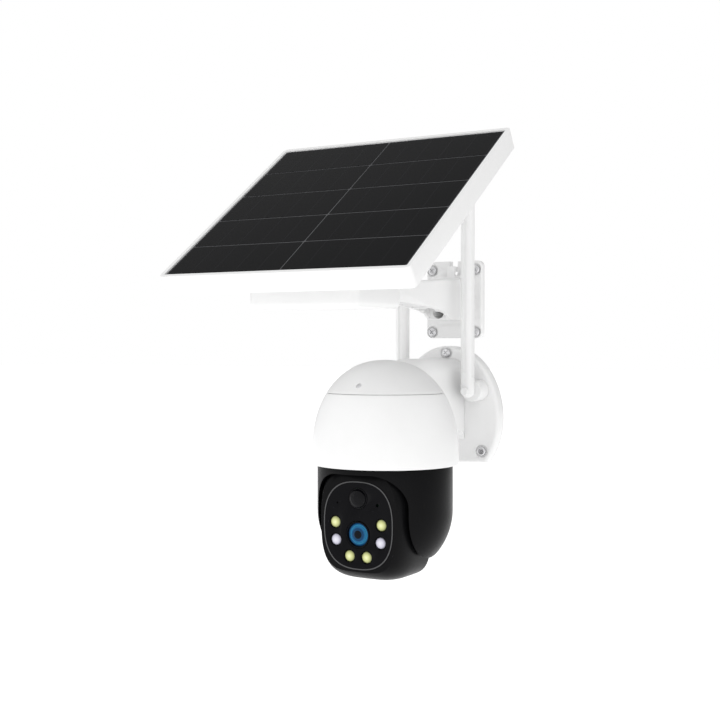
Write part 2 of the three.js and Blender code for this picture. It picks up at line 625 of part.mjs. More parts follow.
// The arm: a channel, open below, with cross ribs, a foot on the plate and a hook in its notch.
function solarArm() {
  const { width, top, bottom, tipBottom, wall: skin } = SOLAR_ARM;
  const wall = PAD.frontY - GAP;
  const tip = BOX.back + GAP;
  const half = width / 2;
  const side = new THREE.Shape();
  side.moveTo(wall, bottom);
  side.lineTo(wall, top);
  side.lineTo(tip, BOX.top - 1);
  side.lineTo(tip, tipBottom);
  side.quadraticCurveTo(-80, tipBottom - 0.5, -45, bottom + 5);
  side.lineTo(-36, bottom);
  const hollow = outline([[-38, 60], [-38, 106], [tip + 5, 99.5], [tip + 5, 60]]);
  const ribs = [];
  for (let y = RIBS.firstY; y > tip + 10; y -= RIBS.pitch) {
    ribs.push(block([-half, half], [y - RIBS.thickness / 2, y + RIBS.thickness / 2], [60, 110]));
  }
  const body = alongX(side, -half, half);
  const shell = joined(cut(body, alongX(hollow, skin - half, half - skin)), joined(...ribs).intersect(body));
  const face = wall - FOOT.thickness;
  const foot = alongY(roundedRect([-FOOT.halfWidth, FOOT.halfWidth], [FOOT.bottom, FOOT.top], 3), face, wall);
  const hookSides = [-HOOK.halfWidth, HOOK.halfWidth];
  const hook = block(hookSides, [1 - PLATE.thickness, wall - 1], [HOOK.bottom, HOOK.top]);
  const hookRoot = block(hookSides, [face, wall], [top, HOOK.top]);
  const whole = joined(shell, foot, hook, hookRoot);
  const lockHole = [outward(LOCK.hole, -20, 0, 0, LOCK.z, 12), outward(LOCK.seat, -60, face, 0, LOCK.z, 18)];
  return cut(whole, ...lockHole).translate([SOLAR_X, 0, 0]);
}

const boxOutline = (inset) =>
  roundedRect(
    [BOX.x - BOX.halfWidth + inset, BOX.x + BOX.halfWidth - inset],
    [BOX.front + inset, BOX.back - inset],
    BOX.corner - inset,
  );

// Hollowed to leave a thin wall, with a gland hole in the back.
const batteryTray = () =>
  cut(
    alongZ(boxOutline(0), BOX.bottom, BOX.split),
    alongZ(boxOutline(BOX.wall), BOX.bottom + BOX.wall, BOX.split + 1),
    outward(GLAND.hole, BOX.back - 5, BOX.back + 5, GLAND.x, GLAND.z, 20),
  );

// The gland that the panel's lead would pass, sealed in the box's back.
const powerGland = () => {
  const { x, z, neck, collar, bore } = GLAND;
  const [inside, seat, rim, tip] = [2, -GAP, -4, -9].map((step) => step - BOX.back);
  return turnedOut(
    [
      [bore, inside], [neck, inside], [neck, seat], [collar, seat],
      [collar, rim], [neck - 0.5, tip], [bore, tip], [bore, inside],
    ],
    x, z, 14,
  );
};

const knuckle = (x0, x1, foot) => {
  const { y, z, knuckle: radius } = HINGE;
  return joined(across(radius, x0, x1, y, z), block([x0, x1], [y - radius, y + radius], [foot, z]));
};

const lugPlaces = [-1, 1].map((side) => SOLAR_X + side * HINGE.lugX);

// The lid closes the tray from above and carries the two fixed lugs of the hinge.
function batteryLid() {
  const low = BOX.split + GAP;
  const lugs = lugPlaces.map((x) => knuckle(x - HINGE.lug / 2, x + HINGE.lug / 2, BOX.top - 0.5));
  return cut(
    joined(alongZ(boxOutline(0), low, BOX.top), ...lugs),
    alongZ(boxOutline(4), low - 1, BOX.top - BOX.wall),
    across(HINGE.bolt + GAP, SOLAR_X - 20, SOLAR_X + 20, HINGE.y, HINGE.z, 16),
  );
}

const cellRows = [0, 1, 2].map((row) => BOX.back - BOX.wall - 1.2 - CELL.radius * (2 * row + 1) - row);
const cellHeight = BOX.bottom + BOX.wall + GAP + CELL.radius;

const batteryCell = (y) =>
  joined(
    across(CELL.radius, CELL.x, CELL.x + CELL.length, y, cellHeight, 16),
    across(3, CELL.x + CELL.length - 0.1, CELL.x + CELL.length + 0.8, y, cellHeight, 10),
  );

// Beside the cells, on three posts.
function chargeBoard() {
  const { x, y, z, thickness } = CHARGE_BOARD;
  const parts = z + thickness - 0.1;
  return joined(
    block(x, y, [z, z + thickness]),
    block([x[0] + 4, x[0] + 16], [y[0] + 6, y[0] + 18], [parts, parts + 4.5]),
    block([x[0] + 7, x[0] + 15], [y[1] - 19, y[1] - 11], [parts, parts + 6.5]),
    ...[3, 27, 51].map((step) =>
      upright(2.5, BOX.bottom + BOX.wall + GAP, z + 0.1, x[0] + 11, y[0] + step, 10)),
  );
}

const hingeBolt = () =>
  joined(
    across(HINGE.bolt, SOLAR_X - 22, SOLAR_X + 17, HINGE.y, HINGE.z, 16),
    across(5, SOLAR_X + 16.5 + GAP, SOLAR_X + 20, HINGE.y, HINGE.z, 16),
  );

const hingeNut = () =>
  cut(
    across(5.5, SOLAR_X - 21, SOLAR_X - 16.5 - GAP, HINGE.y, HINGE.z, 6),
    across(HINGE.bolt + GAP, SOLAR_X - 30, SOLAR_X, HINGE.y, HINGE.z, 16),
  );

// ---- Panel: drawn flat about the middle of its glass, and turned by its group ----

const hingeBelow = { y: 0, z: 0 }; // the hinge's axis in the panel's own frame
{
  const [dy, dz] = [HINGE.y - PANEL.centreY, HINGE.z - PANEL.centreZ];
  hingeBelow.y = dy * Math.cos(PANEL.tilt) + dz * Math.sin(PANEL.tilt);
  hingeBelow.z = dz * Math.cos(PANEL.tilt) - dy * Math.sin(PANEL.tilt);
}

const panelOutline = (outset, corner) => {
  const [x, y] = [PANEL.width / 2 + outset, PANEL.length / 2 + outset];
  return roundedRect([-x, x], [-y, y], corner);
};

// The frame: a rim with a rebate for the laminate and a wider opening behind it.
function panelFrame() {
  const { border, depth } = PANEL;
  const rim = 0.8;
  return cut(
    alongZ(panelOutline(border, 4), rim - depth, rim),
    alongZ(panelOutline(GAP, 1), -LAMINATE - GAP, rim + 1),
    alongZ(panelOutline(-4, 1), -depth - 1, 1),
    alongZ(panelOutline(0.5, 2), -depth - 1, BACK.front + GAP),
  );
}

const laminate = () => alongZ(panelOutline(0, 1), -LAMINATE, 0);

const backSheet = () => alongZ(panelOutline(0.2, 1.7), BACK.front - BACK.thickness, BACK.front);

const junctionBox = () => {
  const top = BACK.front - BACK.thickness - GAP;
  const { halfWidth, y, depth } = JUNCTION_BOX;
  return alongZ(roundedRect([-halfWidth, halfWidth], y, 3), top - depth, top);
};

// A pad on the back sheet with two ears that reach down to the hinge between the lid's lugs.
function panelBracket() {
  const top = BACK.front - BACK.thickness - GAP;
  const { halfWidth, halfLength, thickness, earFoot } = BRACKET;
  const { y, z } = hingeBelow;
  const ears = [-1, 1].map((side) => {
    const sides = [side * HINGE.earX - HINGE.lug / 2, side * HINGE.earX + HINGE.lug / 2];
    const shape = new THREE.Shape();
    shape.moveTo(y + earFoot, top - 2);
    shape.lineTo(y - earFoot, top - 2);
    shape.lineTo(y - HINGE.knuckle, z);
    shape.absarc(y, z, HINGE.knuckle, Math.PI, 2 * Math.PI, false);
    return alongX(shape, ...sides);
  });
  const padShape = roundedRect([-halfWidth, halfWidth], [y - halfLength, y + halfLength], 5);
  const pad = alongZ(padShape, top - thickness, top);
  const tie = block([-8, 8], [y - 2, y + 2], [z + HINGE.knuckle + 4, top - 1]);
  return cut(joined(pad, tie, ...ears), across(HINGE.bolt + GAP, -20, 20, y, z, 16));
}

// ---- The object ----

const root = new THREE.Group();

const camera = new THREE.Group();
piece(camera, "camera_wall_flange", flange(), FINISH.white);
piece(camera, "camera_arm", arm(), FINISH.white);
piece(camera, "arm_grommet", grommet(), FINISH.rubber);
for (const [side, [x, z]] of Object.entries(FLANGE_SCREWS)) {
  const seat = SCREW.sink - FLANGE.depth - GAP;
  piece(camera, `flange_screw_${side}`, wallScrew(x, z, seat), FINISH.steel);
}
for (const [side, x] of Object.entries(antennaSides)) {
  piece(camera, `antenna_hub_${side}`, antennaHub(x), FINISH.white);
  piece(camera, `antenna_${side}`, antenna(x), FINISH.white);
}
piece(camera, "upper_housing", upperHousing(), FINISH.white);
piece(camera, "top_cap", topCap(), FINISH.white);
piece(camera, "cap_seal", capSeal(), FINISH.rubber);
piece(camera, "pan_chassis", chassis(), FINISH.nylon);
piece(camera, "main_board", mainBoard(), FINISH.board);
piece(camera, "pan_motor", panMotor(), FINISH.steel);
piece(camera, "pan_pinion", gear(GEAR.pinionTeeth, PAN_MOTOR.shaft + GAP, gearDistance, false), FINISH.nylon);
piece(camera, "pan_gear", gear(GEAR.wheelTeeth, TURNTABLE.hubRadius + GAP, 0, true), FINISH.nylon);
piece(camera, "pan_bearing", panBearing(), FINISH.nylon);
piece(camera, "pan_turntable", turntable(), FINISH.black);
piece(camera, "pan_housing", panHousing(), FINISH.black);
piece(camera, "tilt_shaft", tiltShaft(), FINISH.steel);

const head = new THREE.Group();
head.position.set(0, DOME.y, PAN.tiltZ);
piece(head, "head_shell", headShell(), FINISH.black);
piece(head, "faceplate", faceplate(), FINISH.gloss);
piece(head, "light_board", lightBoard(), FINISH.board);
lampPlaces.forEach(([x, z], i) => piece(head, `lamp_${i + 1}`, lamp(x, z), FINISH.lamp));
piece(head, "lens_barrel", lensBarrel(), FINISH.black);
piece(head, "lens_glass", lensGlass(), FINISH.lens);
piece(head, "pir_dome", pirDome(), FINISH.black);
piece(head, "image_module", imageModule(), FINISH.board);
piece(head, "tilt_motor", tiltMotor(), FINISH.steel);
piece(head, "card_cover", cardCover(), FINISH.rubber);
piece(head, "reset_button", resetButton(), FINISH.rubber);
camera.add(head);
root.add(camera);

const solar = new THREE.Group();
piece(solar, "solar_wall_plate", wallPlate(), FINISH.white);
plateScrews.forEach(([x, z], i) => {
  const seat = SCREW.sink - PLATE.thickness - GAP;
  piece(solar, `plate_screw_${i + 1}`, wallScrew(x, z, seat), FINISH.steel);
});
piece(solar, "solar_arm", solarArm(), FINISH.white);
const lockSeat = PAD.frontY - 2 * GAP - FOOT.thickness;
piece(solar, "arm_lock_screw", wallScrew(SOLAR_X, LOCK.z, lockSeat, LOCK.head), FINISH.steel);
piece(solar, "battery_tray", batteryTray(), FINISH.white);
piece(solar, "battery_lid", batteryLid(), FINISH.white);
cellRows.forEach((y, i) => piece(solar, `battery_cell_${i + 1}`, batteryCell(y), FINISH.cell));
piece(solar, "charge_board", chargeBoard(), FINISH.board);
piece(solar, "power_gland", powerGland(), FINISH.rubber);
piece(solar, "hinge_bolt", hingeBolt(), FINISH.steel);
piece(solar, "hinge_nut", hingeNut(), FINISH.steel);

const panel = new THREE.Group();
panel.position.set(SOLAR_X, PANEL.centreY, PANEL.centreZ);
panel.rotation.x = PANEL.tilt;
piece(panel, "panel_frame", panelFrame(), FINISH.white);
piece(panel, "panel_laminate", laminate(), FINISH.glass);
piece(panel, "panel_back_sheet", backSheet(), FINISH.white);
piece(panel, "junction_box", junctionBox(), FINISH.black);
piece(panel, "panel_bracket", panelBracket(), FINISH.white);
solar.add(panel);
root.add(solar);

export default root;
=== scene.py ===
# Looks of a wall-held security camera with a solar unit: shells, trims and finishes round the frame.
# Sizes are in millimetres until the bench turns them into metres. -Y is out from the wall, +Z is up.

import json
import logging
import math
from dataclasses import dataclass
from enum import Enum
from typing import Callable, Optional, Sequence

import bpy
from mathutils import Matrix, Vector

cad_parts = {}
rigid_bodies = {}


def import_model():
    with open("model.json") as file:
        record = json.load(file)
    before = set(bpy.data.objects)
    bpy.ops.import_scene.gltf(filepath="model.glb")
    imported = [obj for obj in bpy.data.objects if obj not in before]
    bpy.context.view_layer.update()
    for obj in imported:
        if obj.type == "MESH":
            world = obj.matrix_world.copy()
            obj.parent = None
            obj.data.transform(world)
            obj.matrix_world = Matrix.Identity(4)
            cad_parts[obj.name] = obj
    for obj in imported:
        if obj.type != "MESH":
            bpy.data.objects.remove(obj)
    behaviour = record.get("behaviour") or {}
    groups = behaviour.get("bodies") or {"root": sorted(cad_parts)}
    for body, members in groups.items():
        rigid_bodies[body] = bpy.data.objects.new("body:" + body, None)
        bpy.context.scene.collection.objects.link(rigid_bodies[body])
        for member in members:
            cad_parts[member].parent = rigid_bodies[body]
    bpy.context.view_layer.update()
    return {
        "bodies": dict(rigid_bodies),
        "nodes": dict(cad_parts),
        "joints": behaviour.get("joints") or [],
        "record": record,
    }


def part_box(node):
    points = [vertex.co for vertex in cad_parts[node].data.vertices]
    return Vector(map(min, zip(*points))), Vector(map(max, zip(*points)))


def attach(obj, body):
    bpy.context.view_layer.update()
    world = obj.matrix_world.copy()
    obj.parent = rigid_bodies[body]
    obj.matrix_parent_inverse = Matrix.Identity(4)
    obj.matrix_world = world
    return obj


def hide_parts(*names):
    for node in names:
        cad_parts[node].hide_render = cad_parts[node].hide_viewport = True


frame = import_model()

LOG = logging.getLogger("solar_camera")
MM = 0.001
GAP = 0.3  # mm between pieces that touch

Point = Sequence[float]
Test = Callable[[Vector], bool]


class Slot(Enum):
    """The record's material slots."""

    WHITE = "white_plastic"
    BLACK = "black_plastic"
    GLOSS = "gloss_black"
    STEEL = "steel"
    RUBBER = "rubber"
    NYLON = "nylon"
    BOARD = "circuit_board"
    CELL = "battery_wrap"
    LAMP_YELLOW = "lamp_yellow"
    LAMP_WHITE = "lamp_white"
    LENS = "lens_glass"
    PIR = "sensor_dome"
    SOLAR = "solar_glass"


class Axis(Enum):
    """The axis that a turned piece is spun about, as a direction in the row frame."""

    UP = (0.0, 0.0, 1.0)
    OUT = (0.0, -1.0, 0.0)
    ACROSS = (1.0, 0.0, 0.0)


def node_box(name: str) -> tuple[Vector, Vector]:
    """Gives a CAD node's box in millimetres.

    Args:
        name: the CAD node.

    Returns:
        Its lowest and highest corner.
    """
    low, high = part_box(name)
    return Vector(low) / MM, Vector(high) / MM


# ---------------------------------------------------------------------------------------------
# Finishes
# ---------------------------------------------------------------------------------------------


class Nodes:
    """A small writer of shader trees."""

    def __init__(self, tree: bpy.types.NodeTree) -> None:
        """Takes the node tree that is written to."""
        self.tree = tree

    def add(self, kind: str, links: Optional[dict] = None, **values: object) -> bpy.types.Node:
        """Adds a node, sets its properties and inputs, and links its inputs.

        Args:
            kind: the node's type name.
            links: input name or index to the output socket that feeds it.
            values: properties of the node, or values of its inputs with spaces as underscores.

        Returns:
            The new node.
        """
        node = self.tree.nodes.new(kind)
        for key, value in values.items():
            if hasattr(node, key):
                setattr(node, key, value)
            else:
                node.inputs[key.replace("_", " ")].default_value = value
        for key, output in (links or {}).items():
            self.tree.links.new(output, node.inputs[key])
        return node

    def math(self, operation: str, first: object, second: object = 0.0) -> bpy.types.NodeSocket:
        """Adds a Math node.

        Args:
            operation: what it computes.
            first: a socket or a number.
            second: a socket or a number.

        Returns:
            Its output socket.
        """
        node = self.tree.nodes.new("ShaderNodeMath")
        node.operation = operation
        for index, value in enumerate((first, second)):
            if isinstance(value, bpy.types.NodeSocket):
                self.tree.links.new(value, node.inputs[index])
            else:
                node.inputs[index].default_value = value
        return node.outputs[0]

    def blend(self, share: object, first: object, second: object) -> bpy.types.NodeSocket:
        """Mixes two colours.

        Args:
            share: how much of the second colour, a socket or a number.
            first: a colour or a socket.
            second: a colour or a socket.

        Returns:
            The mixed colour's socket.
        """
        node = self.tree.nodes.new("ShaderNodeMix")
        node.data_type = "RGBA"
        for index, value in ((0, share), (6, first), (7, second)):
            if isinstance(value, bpy.types.NodeSocket):
                self.tree.links.new(value, node.inputs[index])
            elif index == 0:
                node.inputs[0].default_value = value
            else:
                node.inputs[index].default_value = (*value[:3], 1.0)
        return node.outputs[2]


def surface_group() -> bpy.types.NodeTree:
    """Builds the shared effect of a moulded or metal skin: fine grain and broad, uneven handling.

    Returns:
        A node group that puts out a broad mask, a fine mask and a height.
    """
    name = "skin_texture"
    if name in bpy.data.node_groups:
        return bpy.data.node_groups[name]
    group = bpy.data.node_groups.new(name, "ShaderNodeTree")
    face = group.interface
    face.new_socket("Vector", in_out="INPUT", socket_type="NodeSocketVector")
    for label, value in (("Grain", 2600.0), ("Broad", 26.0), ("Contrast", 1.0)):
        face.new_socket(label, in_out="INPUT", socket_type="NodeSocketFloat").default_value = value
    for label in ("Patch", "Speck", "Height"):
        face.new_socket(label, in_out="OUTPUT", socket_type="NodeSocketFloat")
    nodes = Nodes(group)
    inside = nodes.add("NodeGroupInput").outputs
    fine = nodes.add(
        "ShaderNodeTexNoise", {"Vector": inside["Vector"], "Scale": inside["Grain"]}, Detail=3.0, Roughness=0.6
    )
    broad = nodes.add(
        "ShaderNodeTexNoise", {"Vector": inside["Vector"], "Scale": inside["Broad"]}, Detail=5.0, Roughness=0.62
    )
    patch = nodes.add(
        "ShaderNodeMapRange", {"Value": broad.outputs["Fac"]}, From_Min=0.32, From_Max=0.7
    ).outputs["Result"]
    height = nodes.math("ADD", fine.outputs["Fac"], nodes.math("MULTIPLY", patch, 0.25))
    outside = nodes.add("NodeGroupOutput")
    group.links.new(nodes.math("MULTIPLY", patch, inside["Contrast"]), outside.inputs["Patch"])
    group.links.new(fine.outputs["Fac"], outside.inputs["Speck"])
    group.links.new(height, outside.inputs["Height"])
    return group


@dataclass(frozen=True)
class Finish:
    """A finish whose colour and gloss vary gently over the surface."""

    name: str
    colour: tuple[float, float, float]
    shade: tuple[float, float, float]
    roughness: tuple[float, float] = (0.3, 0.4)
    metallic: float = 0.0
    coat: float = 0.0
    grain: float = 2600.0
    broad: float = 26.0
    bump: float = 0.02
    specular: float = 0.5

    def pattern(self, nodes: Nodes, coords: bpy.types.NodeSocket) -> Optional[bpy.types.NodeSocket]:
        """Gives a colour that replaces the plain one.

        Args:
            nodes: the writer of the material's tree.
            coords: where on the object, in metres.

        Returns:
            A colour socket, or None for the plain colours.
        """
        return None

    def extra(self, nodes: Nodes, shader: bpy.types.Node, coords: bpy.types.NodeSocket) -> None:
        """Sets what else the shader needs.

        Args:
            nodes: the writer of the material's tree.
            shader: the Principled shader.
            coords: where on the object, in metres.
        """

    def material(self) -> bpy.types.Material:
        """Makes the material once, and gives the same one again after that."""
        if self.name in bpy.data.materials:
            return bpy.data.materials[self.name]
        made = bpy.data.materials.new(self.name)
        made.use_nodes = True
        made.node_tree.nodes.clear()
        nodes = Nodes(made.node_tree)
        coords = nodes.add("ShaderNodeTexCoord").outputs["Object"]
        skin = nodes.add("ShaderNodeGroup", node_tree=surface_group())
        skin.inputs["Grain"].default_value = self.grain
        skin.inputs["Broad"].default_value = self.broad
        made.node_tree.links.new(coords, skin.inputs["Vector"])
        patch, speck = skin.outputs["Patch"], skin.outputs["Speck"]
        plain = nodes.blend(nodes.math("MULTIPLY", patch, 0.5), self.colour, self.shade)
        base = self.pattern(nodes, coords) or plain
        rough = nodes.add(
            "ShaderNodeMapRange", {"Value": nodes.math("ADD", patch, nodes.math("MULTIPLY", speck, 0.15))},
            To_Min=self.roughness[0], To_Max=self.roughness[1],
        )
        bump = nodes.add(
            "ShaderNodeBump", {"Height": skin.outputs["Height"]}, Strength=self.bump * 10, Distance=0.0002
        )
        shader = nodes.add(
            "ShaderNodeBsdfPrincipled",
            {"Base Color": base, "Roughness": rough.outputs["Result"], "Normal": bump.outputs["Normal"]},
            Metallic=self.metallic, Coat_Weight=self.coat, Coat_Roughness=0.06,
            Specular_IOR_Level=self.specular,
        )
        self.extra(nodes, shader, coords)
        nodes.add("ShaderNodeOutputMaterial", {"Surface": shader.outputs[0]})
        return made


@dataclass(frozen=True)
class CircuitBoard(Finish):
    """Green solder mask with lighter tracks and tinned pads."""

    def pattern(self, nodes: Nodes, coords: bpy.types.NodeSocket) -> Optional[bpy.types.NodeSocket]:
        """Tracks from a brick pattern, pads from a cell pattern (arguments as in Finish)."""
        tracks = nodes.add(
            "ShaderNodeTexBrick", {"Vector": coords},
            Scale=260.0, Mortar_Size=0.07, Brick_Width=1.9, Row_Height=0.5,
        )
        tracks.inputs["Color1"].default_value = (*self.colour, 1.0)
        tracks.inputs["Color2"].default_value = (*self.shade, 1.0)
        tracks.inputs["Mortar"].default_value = (0.06, 0.30, 0.13, 1.0)
        pads = nodes.add("ShaderNodeTexVoronoi", {"Vector": coords}, Scale=330.0).outputs["Distance"]
        return nodes.blend(nodes.math("LESS_THAN", pads, 0.16), tracks.outputs["Color"], (0.72, 0.66, 0.45))


@dataclass(frozen=True)
class SolarCell(Finish):
    """Near-black mono cells: faint fingers across and darker busbars along the slope."""

    def stripes(
        self, nodes: Nodes, value: bpy.types.NodeSocket, pitch: float, width: float
    ) -> bpy.types.NodeSocket:
        """Draws a line at every pitch.

        Args:
            nodes: the writer of the tree.
            value: the distance across the lines.
            pitch: from line to line, in metres.
            width: of a line, in metres.

        Returns:
            A mask that is 1 on the lines.
        """
        place = nodes.math("PINGPONG", value, pitch / 2)
        return nodes.math("LESS_THAN", place, width / 2)

    def pattern(self, nodes: Nodes, coords: bpy.types.NodeSocket) -> Optional[bpy.types.NodeSocket]:
        """Busbars every 19.5 mm and fingers every 1.6 mm (arguments as in Finish)."""
        split = nodes.add("ShaderNodeSeparateXYZ", {0: nodes.add("ShaderNodeUVMap", uv_map="flat").outputs[0]})
        busbars = self.stripes(nodes, split.outputs["X"], 0.0195, 0.0007)
        fingers = self.stripes(nodes, split.outputs["Y"], 0.0016, 0.0002)
        mottle = nodes.add("ShaderNodeTexNoise", {"Vector": coords}, Scale=9.0, Detail=2.0).outputs["Fac"]
        silicon = nodes.blend(mottle, self.colour, self.shade)
        lined = nodes.blend(nodes.math("MULTIPLY", fingers, 0.25), silicon, (0.02, 0.021, 0.024))
        return nodes.blend(nodes.math("MULTIPLY", busbars, 0.2), lined, (0.03, 0.031, 0.034))


@dataclass(frozen=True)
class RoundGlass(Finish):
    """A finish of rings round a centre on the tilting face, used for the painted reflections of a coated lens
    and the painted highlight of a lamp.
    """

    centre: tuple[float, float, float] = (0.0, 0.0, 0.0)
    rings: tuple[tuple[float, tuple[float, float, float]], ...] = ()
    # Strength of a painted glow: the ring colour given again as emission.
    glow: float = 0.0

    def pattern(self, nodes: Nodes, coords: bpy.types.NodeSocket) -> Optional[bpy.types.NodeSocket]:
        """Colours by the distance from the centre, in the plane of the face (arguments as in Finish)."""
        away = nodes.add("ShaderNodeVectorMath", {0: coords}, operation="SUBTRACT")
        away.inputs[1].default_value = self.centre
        flat = nodes.add("ShaderNodeVectorMath", {0: away.outputs[0]}, operation="MULTIPLY")
        flat.inputs[1].default_value = (1.0, 0.0, 1.0)
        reach = nodes.add("ShaderNodeVectorMath", {0: flat.outputs[0]}, operation="LENGTH").outputs["Value"]
        outer = self.rings[-1][0] * MM
        ramp = nodes.add("ShaderNodeValToRGB", {"Fac": nodes.math("DIVIDE", reach, outer)})
        stops = ramp.color_ramp.elements
        while len(stops) < len(self.rings):
            stops.new(0.5)
        for stop, (radius, colour) in zip(stops, self.rings):
            stop.position = radius * MM / outer
            stop.color = (*colour, 1.0)
        return ramp.outputs["Color"]

    def extra(self, nodes: Nodes, shader: bpy.types.Node, coords: bpy.types.NodeSocket) -> None:
        """Adds the painted glow: the ring colour also shines as emission (arguments as in Finish)."""
        if self.glow:
            colour = shader.inputs["Base Color"].links[0].from_socket
            nodes.tree.links.new(colour, shader.inputs["Emission Color"])
            shader.inputs["Emission Strength"].default_value = self.glow


@dataclass(frozen=True)
class LitFloor(Finish):
    """A pale floor that is lit from inside, so that it stays white without a hot spot."""

    glow: float = 0.5

    def extra(self, nodes: Nodes, shader: bpy.types.Node, coords: bpy.types.NodeSocket) -> None:
        """Adds the light from inside (arguments as in Finish)."""
        shader.inputs["Emission Color"].default_value = (1.0, 1.0, 1.0, 1.0)
        shader.inputs["Emission Strength"].default_value = self.glow


WHITE = Finish("white_moulding", (0.88, 0.88, 0.88), (0.83, 0.83, 0.825), (0.30, 0.42), coat=0.12, bump=0.012)
# A darker copy of the white moulding for the cap: partly the cap's own greyer tone, partly painted shade for
# the weaker light on its top.
CAP_TONE_AND_SHADE = Finish("cap_tone_and_painted_shade", (0.80, 0.80, 0.80), (0.75, 0.75, 0.745), (0.30, 0.42), coat=0.12, bump=0.012)
BLACK = Finish(
    "black_moulding", (0.005, 0.005, 0.0055), (0.004, 0.004, 0.0045), (0.26, 0.38), bump=0.03, specular=0.06
)
GLOSS = Finish(
    "face_gloss", (0.004, 0.004, 0.005), (0.003, 0.003, 0.004), (0.08, 0.2), bump=0.004, specular=0.06
)
STEEL = Finish("zinc_plate", (0.72, 0.72, 0.73), (0.60, 0.60, 0.62), (0.24, 0.42), metallic=1.0, bump=0.03)
RUBBER = Finish("black_rubber", (0.022, 0.022, 0.023), (0.03, 0.03, 0.03), (0.7, 0.85), grain=1500.0, bump=0.08)
NYLON = Finish("natural_nylon", (0.80, 0.78, 0.71), (0.72, 0.70, 0.62), (0.45, 0.6), bump=0.03)
BOARD = CircuitBoard("solder_mask", (0.012, 0.10, 0.04), (0.015, 0.12, 0.05), (0.3, 0.45), bump=0.02)
CELL = Finish("cell_sleeve", (0.05, 0.16, 0.42), (0.04, 0.13, 0.36), (0.25, 0.35), coat=0.4, bump=0.02)
SILICON = SolarCell(
    "mono_silicon", (0.0050, 0.0051, 0.0056), (0.0070, 0.0071, 0.0076), (0.18, 0.26), bump=0.002, specular=0.02
)
BACKING = Finish("cell_gap", (0.10, 0.10, 0.105), (0.07, 0.07, 0.075), (0.2, 0.3), bump=0.004, specular=0.02)
PIR = Finish(
    "sensor_window", (0.003, 0.003, 0.004), (0.005, 0.005, 0.006), (0.08, 0.12), bump=0.002, specular=0.12
)
FLOOR = LitFloor(
    "floor_paint", (0.9, 0.9, 0.9), (0.88, 0.88, 0.88), (0.8, 0.9), grain=40.0, broad=2.0, specular=0.0
)

FINISH_OF = {
    Slot.WHITE: WHITE, Slot.BLACK: BLACK, Slot.GLOSS: GLOSS, Slot.STEEL: STEEL, Slot.RUBBER: RUBBER,
    Slot.NYLON: NYLON, Slot.BOARD: BOARD, Slot.CELL: CELL, Slot.LAMP_YELLOW: WHITE, Slot.LAMP_WHITE: WHITE,
    Slot.LENS: GLOSS, Slot.PIR: PIR, Slot.SOLAR: SILICON,
}


# ---------------------------------------------------------------------------------------------
# The bench: how pieces are shaped
# ---------------------------------------------------------------------------------------------


